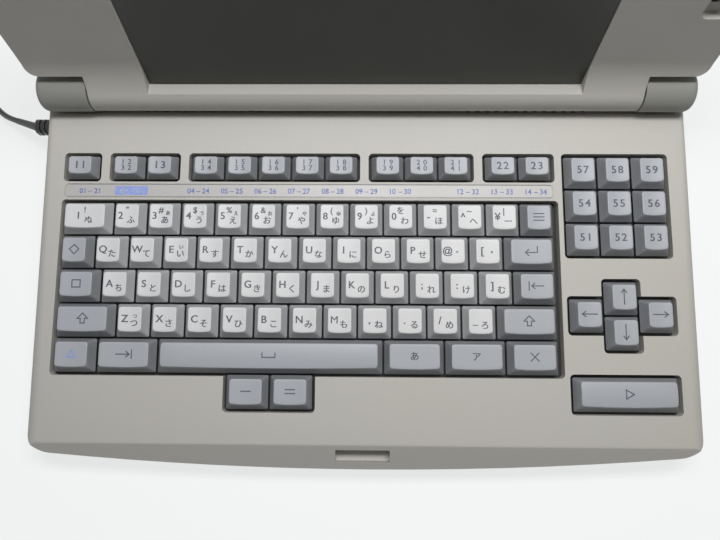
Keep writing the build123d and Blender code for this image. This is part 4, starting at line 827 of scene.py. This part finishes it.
# %% Keyboard measures
KEY_PITCH = 19.05 * MM
KEY_GAP = 1.05 * MM
KEY_HEIGHT = 6.5 * MM
KEY_SINK = 2.0 * MM
KEY_WALL = 1.2 * MM
SIDE_INSET = 2.7 * MM
BACK_INSET = 1.7 * MM
FRONT_INSET = 3.4 * MM
KEY_DISH = 0.6 * MM
FUNCTION_KEY_DEPTH = 14.3 * MM
DECK_TILT = radians(4.5)
CREASE = Vector((0, -154.0, 29.87)) * MM
DECK = Matrix.Translation(CREASE) @ Matrix.Rotation(DECK_TILT, 4, "X")
FRONT_MARGIN = 17.6 * MM
BLOCK_LEFT = -169.8625 * MM
PAD_LEFT = 112.7125 * MM
PAD_BOTTOM = 101.85 * MM
FUNCTION_MIDDLE = 151.85 * MM
ARROW_CENTRE = 69.25 * MM
CORNER_STEPS = 4
SIDE_STEPS = 9
END_STEPS = 5


def key_run(start, widths, row=0, v=None, left=BLOCK_LEFT, depth=KEY_PITCH, dished=True):
    """Keys side by side as (x, v, width, depth, dished); start and widths are in key pitches."""
    middle = FRONT_MARGIN + (row + 0.5) * KEY_PITCH if v is None else v
    run = []
    for width in widths:
        run.append((left + (start + width / 2) * KEY_PITCH, middle, width * KEY_PITCH, depth, dished))
        start += width
    return run


def function_run(start, count):
    """Keys of the shallower row behind the number keys."""
    return key_run(start, [1] * count, v=FUNCTION_MIDDLE, depth=FUNCTION_KEY_DEPTH)


half_pitch = KEY_PITCH / 2
keyboard = {
    "keys_number_row": key_run(0, [1.5] + [1] * 12, 5),
    "key_menu": key_run(13.5, [1], 5),
    "keys_upper_row": key_run(1, [1] * 12, 4),
    "key_return": key_run(13, [1.5], 4),
    "keys_home_row": key_run(1.25, [1] * 12, 3),
    "key_backspace": key_run(13.25, [1.25], 3),
    "key_shift_left": key_run(0, [1.75], 2),
    "keys_lower_row": key_run(1.75, [1] * 11, 2),
    "key_shift_right": key_run(12.75, [1.75], 2),
    "keys_mode": key_run(0, [1], 4) + key_run(0, [1.25], 3) + key_run(0, [1.25], 1),
    "key_tab": key_run(1.25, [1.75], 1),
    "key_space": key_run(3, [6.5], 1, dished=False),
    "keys_kana": key_run(9.5, [1.75, 1.75, 1.5], 1),
    "key_no_convert": key_run(5, [1.25], 0),
    "key_convert": key_run(6.25, [1.25], 0),
    "keys_function_left": function_run(0, 1) + function_run(1.375, 2),
    "keys_function_middle": function_run(3.75, 5),
    "keys_function_right": function_run(9.125, 3) + function_run(12.5, 2),
    "keys_page_pad": [
        key for row in range(3) for key in key_run(0, [1] * 3, v=PAD_BOTTOM + (row + 0.5) * KEY_PITCH, left=PAD_LEFT)
    ],
    "key_up": key_run(1, [1], v=ARROW_CENTRE + half_pitch, left=PAD_LEFT),
    "key_down": key_run(1, [1], v=ARROW_CENTRE - half_pitch, left=PAD_LEFT),
    "key_left": key_run(0, [1], v=ARROW_CENTRE, left=PAD_LEFT),
    "key_right": key_run(2, [1], v=ARROW_CENTRE, left=PAD_LEFT),
    "key_execute": key_run(0, [3], 0, left=PAD_LEFT, dished=False),
}
print("keys:", sum(len(run) for run in keyboard.values()))


# %% One key cap
def cap_top(width, depth):
    """Half width, half depth and centre shift of the flat above a key's slopes."""
    scale = depth / KEY_PITCH
    half_x = (width - KEY_GAP) / 2 - SIDE_INSET
    half_y = (depth - KEY_GAP - (BACK_INSET + FRONT_INSET) * scale) / 2
    return half_x, half_y, (FRONT_INSET - BACK_INSET) * scale / 2


def top_height(x, y, width, depth, dished):
    """Height of a key's top surface above the deck; x and y are from the key's middle."""
    half_x, half_y, shift = cap_top(width, depth)
    share = x / half_x if dished else (y - shift) / half_y
    share = min(abs(share), 1)
    fall = (1 - share**2) if dished else share**2
    return KEY_HEIGHT - KEY_SINK - KEY_DISH * fall


def rounded_ring(half_x, half_y, radius, shift, bow=0.0):
    """Rounded rectangle as (x, y) points, the same number for every ring; bow curves its front edge."""
    radius = min(radius, half_x * 0.95, half_y * 0.95)
    outline = []
    for quarter, (side_x, side_y) in enumerate(((1, 1), (-1, 1), (-1, -1), (1, -1))):
        for step in range(CORNER_STEPS + 1):
            angle = (quarter + step / CORNER_STEPS) * pi / 2
            x = side_x * (half_x - radius) + radius * cos(angle)
            y = side_y * (half_y - radius) + radius * sin(angle)
            outline.append((x, y))
    points = []
    per_corner = CORNER_STEPS + 1
    for index, (x, y) in enumerate(outline):
        points.append((x, y))
        if index % per_corner == CORNER_STEPS:
            next_x, next_y = outline[(index + 1) % len(outline)]
            steps = SIDE_STEPS if abs(next_x - x) > abs(next_y - y) or index // per_corner % 2 == 0 else END_STEPS
            for step in range(1, steps):
                share = step / steps
                points.append((x + (next_x - x) * share, y + (next_y - y) * share))
    return [(x, y + shift - bow * (1 - (x / half_x) ** 2) * max(0, -y / half_y)) for x, y in points]


RIM = 0.55 * MM
RIM_INSET = 0.42 * MM
SKIRT_RADIUS = 0.9 * MM
TOP_RADIUS = 1.6 * MM
FRONT_BOW = 0.55 * MM


def key_rings(width, depth, dished):
    """All rings of one cap from the inside of its skirt over the top, as lists of (x, y, height)."""
    base_x = (width - KEY_GAP) / 2
    base_y = (depth - KEY_GAP) / 2
    top_x, top_y, shift = cap_top(width, depth)
    rings = []
    inner = rounded_ring(base_x - KEY_WALL - 1.6 * MM, base_y - KEY_WALL - 1.6 * MM, SKIRT_RADIUS, shift * 0.6)
    rings.append([(x, y, 1.6 * MM) for x, y in inner])
    inner = rounded_ring(base_x - KEY_WALL, base_y - KEY_WALL, SKIRT_RADIUS, 0)
    rings.append([(x, y, -KEY_SINK) for x, y in inner])
    rim_level = KEY_HEIGHT - RIM
    for share in (0, 0.02, 0.5, 1):
        along = share * rim_level / KEY_HEIGHT
        hollow = 0.18 * MM * 4 * share * (1 - share)
        ring_x = base_x + (top_x - base_x) * along - hollow
        ring_y = base_y + (top_y - base_y) * along - hollow
        radius = SKIRT_RADIUS + (TOP_RADIUS - SKIRT_RADIUS) * share
        ring = []
        for x, y in rounded_ring(ring_x, ring_y, radius, shift * along, FRONT_BOW * share):
            drop = KEY_HEIGHT - KEY_SINK - top_height(x, y, width, depth, dished)
            ring.append((x, y, share * rim_level - KEY_SINK - drop * share))
        rings.append(ring)
    slope_x = (base_x - top_x) * RIM / KEY_HEIGHT
    for share in (0.35, 0.7, 1.0):
        turn = share * pi / 2
        ease = 1 - cos(turn)
        rise = RIM * sin(turn)
        inset = RIM_INSET * ease - slope_x * (1 - share)
        ring = []
        for x, y in rounded_ring(top_x - inset, top_y - inset, TOP_RADIUS - 0.3 * inset, shift, FRONT_BOW):
            level = top_height(x, y, width, depth, dished)
            ring.append((x, y, level - RIM + rise))
        rings.append(ring)
    for share in (0.82, 0.6, 0.38, 0.16):
        half_x = (top_x - RIM_INSET) * share
        half_y = (top_y - RIM_INSET) * share
        ring = []
        for x, y in rounded_ring(half_x, half_y, TOP_RADIUS * share, shift, FRONT_BOW * share):
            ring.append((x, y, top_height(x, y, width, depth, dished)))
        rings.append(ring)
    return rings


def add_cap(vertices, faces, key):
    """Adds one key cap, placed on the deck, to the lists."""
    x, v, width, depth, dished = key
    start = len(vertices)
    rings = key_rings(width, depth, dished)
    for ring_points in rings:
        for along_x, along_v, height in ring_points:
            vertices.append(DECK @ Vector((x + along_x, v + along_v, height)))
    count = len(rings[0])
    for level in range(len(rings) - 1):
        low = start + level * count
        for index in range(count):
            after = (index + 1) % count
            faces.append((low + index, low + after, low + count + after, low + count + index))
    faces.append(tuple(start + (len(rings) - 1) * count + index for index in range(count)))
    faces.append(tuple(start + index for index in reversed(range(count))))


for node_name, keys in keyboard.items():
    cap_vertices = []
    cap_faces = []
    for key in keys:
        add_cap(cap_vertices, cap_faces, key)
    slot_name = slot_of_node[node_name]
    caps = add_piece(node_name + "_caps", cap_vertices, cap_faces, body_of_node[node_name], slot_name)
    caps.data.materials.append(materials[slot_name])
    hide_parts(node_name)
print("one cap has", len(key_rings(KEY_PITCH, KEY_PITCH, True)), "rings")

# %% [markdown]
# ## Letters on the keys
# The letters are printed on the cap tops. As flat outlines that follow the trough, a hair above it,
# they stay crisp at any distance and move with their key. Keys that carry a word on the real object
# get a plain sign or a number here: an arrow, a bar, or two digits.

# %% Flat outlines of letters and signs
LIFT = 0.03 * MM
STRIKE = 0.012
STROKE_STEP = 0.8
outlines = {}


def letter_outline(text):
    """Flat mesh of a character in a font one unit high, as points and faces."""
    if text not in outlines:
        curve = bpy.data.curves.new("letter", "FONT")
        curve.body = text
        curve.resolution_u = 3
        curve.offset = 0.0 if text == "M" else 0.012
        holder = bpy.data.objects.new("letter", curve)
        bpy.context.scene.collection.objects.link(holder)
        depsgraph = bpy.context.evaluated_depsgraph_get()
        mesh = bpy.data.meshes.new_from_object(holder.evaluated_get(depsgraph))
        points = [(v.co.x, v.co.y) for v in mesh.vertices]
        faces = [tuple(p.vertices) for p in mesh.polygons]
        bpy.data.objects.remove(holder)
        bpy.data.curves.remove(curve)
        bpy.data.meshes.remove(mesh)
        middle = (min(p[0] for p in points) + max(p[0] for p in points)) / 2
        count = len(points)
        struck = [(x - middle - STRIKE, y - 0.36) for x, y in points]
        struck += [(x - middle + STRIKE, y - 0.36) for x, y in points]
        outlines[text] = (struck, faces + [tuple(count + index for index in face) for face in faces])
    return outlines[text]


def stroke_outline(strokes, width):
    """Flat ribbons along runs of points, in millimetres, joined square at the corners."""
    points = []
    faces = []
    for run in strokes:
        for (x0, y0), (x1, y1) in zip(run, run[1:]):
            length = hypot(x1 - x0, y1 - y0)
            ahead_x = (x1 - x0) / length * width / 2
            ahead_y = (y1 - y0) / length * width / 2
            steps = ceil(length / STROKE_STEP)
            start = len(points)
            for step in range(steps + 1):
                along = step / steps * (length + width) / length - width / 2 / length
                x = x0 + (x1 - x0) * along
                y = y0 + (y1 - y0) * along
                points.append((x - ahead_y, y + ahead_x))
                points.append((x + ahead_y, y - ahead_x))
            for step in range(steps):
                low = start + 2 * step
                faces.append((low, low + 1, low + 3, low + 2))
    return points, faces


SIGNS = {
    "up": [[(0, -3.2), (0, 3.2)], [(-1.1, 1.7), (0, 3.2), (1.1, 1.7)]],
    "down": [[(0, 3.2), (0, -3.2)], [(-1.1, -1.7), (0, -3.2), (1.1, -1.7)]],
    "left": [[(3.2, 0), (-3.2, 0)], [(-1.7, -1.1), (-3.2, 0), (-1.7, 1.1)]],
    "right": [[(-3.2, 0), (3.2, 0)], [(1.7, -1.1), (3.2, 0), (1.7, 1.1)]],
    "return": [[(2.6, 2.0), (2.6, -0.6), (-2.6, -0.6)], [(-1.2, 0.7), (-2.6, -0.6), (-1.2, -1.9)]],
    "back": [[(2.8, 0), (-2.2, 0)], [(-0.9, 1.2), (-2.2, 0), (-0.9, -1.2)], [(-3.4, 1.8), (-3.4, -1.8)]],
    "tab": [[(-3.4, 0), (2.4, 0)], [(1.0, 1.2), (2.4, 0), (1.0, -1.2)], [(3.4, 1.8), (3.4, -1.8)]],
    "shift": [[(-0.9, -2.0), (-0.9, 0), (-2.3, 0), (0, 2.3), (2.3, 0), (0.9, 0), (0.9, -2.0), (-0.9, -2.0)]],
    "menu": [[(-2.2, 1.5), (2.2, 1.5)], [(-2.2, 0), (2.2, 0)], [(-2.2, -1.5), (2.2, -1.5)]],
    "space": [[(-2.8, 0.9), (-2.8, -0.9), (2.8, -0.9), (2.8, 0.9)]],
    "cancel": [[(-1.7, -1.7), (1.7, 1.7)], [(-1.7, 1.7), (1.7, -1.7)]],
    "square": [[(-1.8, -1.6), (1.8, -1.6), (1.8, 1.6), (-1.8, 1.6), (-1.8, -1.6)]],
    "diamond": [[(0, -2.1), (2.1, 0), (0, 2.1), (-2.1, 0), (0, -2.1)]],
    "bar": [[(-2.0, 0), (2.0, 0)]],
    "double_bar": [[(-2.0, 0.8), (2.0, 0.8)], [(-2.0, -0.8), (2.0, -0.8)]],
    "wedge": [[(-1.9, -1.4), (0, 1.6), (1.9, -1.4), (-1.9, -1.4)]],
    "play": [[(-1.5, -1.9), (1.8, 0), (-1.5, 1.9), (-1.5, -1.9)]],
}


def print_mark(marks, key, text, x, y, size):
    """Adds one character or sign to a list of marks; x and y are millimetres from the top's middle."""
    centre_x, centre_v, width, depth, dished = key
    shift = cap_top(width, depth)[2]
    if text in SIGNS:
        points, faces = stroke_outline(SIGNS[text], 0.5)
        scale = size / 4 * MM
    else:
        points, faces = letter_outline(text)
        scale = size * MM
    vertices, all_faces = marks
    start = len(vertices)
    for point_x, point_y in points:
        along_x = x * MM + point_x * scale
        along_v = y * MM + shift + point_y * scale
        height = top_height(along_x, along_v, width, depth, dished) + LIFT
        vertices.append(DECK @ Vector((centre_x + along_x, centre_v + along_v, height)))
    all_faces.extend(tuple(start + index for index in face) for face in faces)


# %% What each key carries
NUMBER_KEYS = ["1!ぬ", '2"ふ', "3#ぁあ", "4$ぅう", "5%ぇえ", "6&ぉお"]
NUMBER_KEYS += ["7'ゃや", "8(ゅゆ", "9)ょよ", "0をわ", "-=ほ", "^~へ", "¥|ー"]
UPPER_KEYS = ["Qた", "Wて", "Eぃい", "Rす", "Tか", "Yん", "Uな", "Iに", "Oら", "Pせ", "@゛", "[゜"]
HOME_KEYS = ["Aち", "Sと", "Dし", "Fは", "Gき", "Hく", "Jま", "Kの", "Lり", ";れ", ":け", "]む"]
LOWER_KEYS = ["Zっつ", "Xさ", "Cそ", "Vひ", "Bこ", "Nみ", "Mも", ",ね", ".る", "/め", "_ろ"]
LETTER_SIZE = 5.6
KANA_SIZE = 4.7
SMALL_KANA_SIZE = 3.3
SIGN_SIZE = 5.0
NUMBER_SIZE = 6.0
SMALL_NUMBER_SIZE = 4.2
TWO_ROW_NUMBERS = (12, 14, 15, 16, 17, 18, 19, 20, 21)
PAD_NUMBERS = [51, 52, 53, 54, 55, 56, 57, 58, 59]


def letter_marks(keys, texts):
    """Latin letter at the upper left and kana at the lower right of each key."""
    marks = ([], [])
    for key, text in zip(keys, texts):
        print_mark(marks, key, text[0], -2.9, 0.2, LETTER_SIZE)
        print_mark(marks, key, text[-1], 2.2, -2.3, KANA_SIZE)
        if len(text) == 3:
            print_mark(marks, key, text[1], 2.6, 1.7, SMALL_KANA_SIZE)
    return marks


def number_marks(keys, texts):
    """Digit at the left, its shifted sign above it to the right, kana below."""
    marks = ([], [])
    for key, text in zip(keys, texts):
        print_mark(marks, key, text[0], -3.7, 0.1, LETTER_SIZE)
        print_mark(marks, key, text[1], -0.2, 3.3, KANA_SIZE)
        print_mark(marks, key, text[-1], 2.1, -2.5, KANA_SIZE)
        if len(text) == 4:
            print_mark(marks, key, text[2], 3.7, 1.6, SMALL_KANA_SIZE)
    return marks


def sign_marks(keys, texts):
    """One sign in the middle of each key."""
    marks = ([], [])
    for key, text in zip(keys, texts):
        print_mark(marks, key, text, 0, 0, SIGN_SIZE)
    return marks


def two_digit_marks(keys, numbers, two_rows=()):
    """A wide two-digit number on each key; those in two_rows take four small digits in two rows."""
    marks = ([], [])
    for key, number in zip(keys, numbers):
        rows = [(0, NUMBER_SIZE, number)]
        if number in two_rows:
            rows = [(1.75, SMALL_NUMBER_SIZE, number), (-1.65, SMALL_NUMBER_SIZE, number + 20)]
        for y, size, shown in rows:
            print_mark(marks, key, str(shown // 10), -1.9, y, size)
            print_mark(marks, key, str(shown % 10), 1.9, y, size)
    return marks


key_marks = {
    "keys_number_row": number_marks(keyboard["keys_number_row"], NUMBER_KEYS),
    "keys_upper_row": letter_marks(keyboard["keys_upper_row"], UPPER_KEYS),
    "keys_home_row": letter_marks(keyboard["keys_home_row"], HOME_KEYS),
    "keys_lower_row": letter_marks(keyboard["keys_lower_row"], LOWER_KEYS),
}
function_numbers = {
    "keys_function_left": [11, 12, 13],
    "keys_function_middle": [14, 15, 16, 17, 18],
    "keys_function_right": [19, 20, 21, 22, 23],
}
for node_name, numbers in function_numbers.items():
    key_marks[node_name] = two_digit_marks(keyboard[node_name], numbers, TWO_ROW_NUMBERS)
key_marks["keys_page_pad"] = two_digit_marks(keyboard["keys_page_pad"], PAD_NUMBERS)
SIGN_KEYS = {
    "key_menu": ["menu"],
    "key_return": ["return"],
    "key_backspace": ["back"],
    "key_shift_left": ["shift"],
    "key_shift_right": ["shift"],
    "keys_mode": ["diamond", "square"],
    "key_tab": ["tab"],
    "key_space": ["space"],
    "keys_kana": ["あ", "ア", "cancel"],
    "key_no_convert": ["bar"],
    "key_convert": ["double_bar"],
    "key_up": ["up"],
    "key_down": ["down"],
    "key_left": ["left"],
    "key_right": ["right"],
    "key_execute": ["play"],
}
for node_name, texts in SIGN_KEYS.items():
    key_marks[node_name] = sign_marks(keyboard[node_name], texts)
for node_name, (mark_vertices, mark_faces) in key_marks.items():
    letters = add_piece(
        node_name + "_letters", mark_vertices, mark_faces, body_of_node[node_name], "label_print", smooth=False
    )
    letters.data.materials.append(dark_ink)
mode_marks = sign_marks(keyboard["keys_mode"][2:], ["wedge"])
blue_letters = add_piece("keys_mode_blue_mark", *mode_marks, body_of_node["keys_mode"], "label_print", smooth=False)
blue_letters.data.materials.append(blue_ink)
print("letters:", sum(len(marks[1]) for marks in key_marks.values()), "faces")

# %% [markdown]
# ## Printed strip
# Behind the number keys lies a printed strip with a pale blue note over most of them, and one note
# reversed out of a blue bar. Plain numbers stand in for the notes; they share the letters' outlines.

# %% Numbers on the strip
STRIP_MIDDLE = 138.3 * MM
STRIP_LEVEL = -0.1 * MM
NOTE_SIZE = 4.2 * MM
noted_keys = keyboard["keys_number_row"] + keyboard["key_menu"]
BARE_PLACES = (3, 11)
BAR_PLACE = 2
strip_marks = ([], [])
bar_marks = ([], [])


def strip_point(x, v, lift):
    """A place on the strip's top."""
    return DECK @ Vector((x, v, STRIP_LEVEL + lift))


for number, key in enumerate(noted_keys, start=1):
    if number in BARE_PLACES:
        continue
    marks = bar_marks if number == BAR_PLACE else strip_marks
    for offset, text in ((-4.2, f"{number:02d}"), (0.0, "–"), (4.2, f"{number + 20}")):
        points, faces = letter_outline(text)
        start = len(marks[0])
        for x, y in points:
            along = key[0] + offset * MM + x * NOTE_SIZE
            marks[0].append(strip_point(along, STRIP_MIDDLE + y * NOTE_SIZE, 2 * LIFT))
        marks[1].extend(tuple(start + index for index in face) for face in faces)
strip_numbers = add_piece("strip_numbers", *strip_marks, "base", "label_print", smooth=False)
strip_numbers.data.materials.append(blue_ink)
bar_numbers = add_piece("strip_bar_numbers", *bar_marks, "base", "label_print", smooth=False)
bar_numbers.data.materials.append(pale_ink)
BAR_HALF = Vector((9.3, 2.5, 0)) * MM
STRIP_LEFT = -168.0 * MM
STRIP_RIGHT = 106.0 * MM
STRIP_LINE_OUT = 3.5 * MM
LINE_WIDTH = 0.25 * MM
bar_corners = []
for side_x, side_y in ((-1, -1), (1, -1), (1, 1), (-1, 1)):
    bar_corners.append(
        strip_point(noted_keys[BAR_PLACE - 1][0] + side_x * BAR_HALF.x, STRIP_MIDDLE + side_y * BAR_HALF.y, LIFT)
    )
strip_bar = add_piece("strip_bar", bar_corners, [(0, 1, 2, 3)], "base", "label_print", smooth=False)
strip_bar.data.materials.append(blue_ink)
strip_lines = ([], [])
for line_v in (STRIP_MIDDLE - STRIP_LINE_OUT, STRIP_MIDDLE + STRIP_LINE_OUT):
    start = len(strip_lines[0])
    for x, v in ((STRIP_LEFT, 0), (STRIP_RIGHT, 0), (STRIP_RIGHT, LINE_WIDTH), (STRIP_LEFT, LINE_WIDTH)):
        strip_lines[0].append(strip_point(x, line_v + v, LIFT))
    strip_lines[1].append((start, start + 1, start + 2, start + 3))
strip_borders = add_piece("strip_borders", *strip_lines, "base", "label_print", smooth=False)
strip_borders.data.materials.append(dark_ink)
print("strip:", len(strip_marks[1]) + len(bar_marks[1]), "faces")
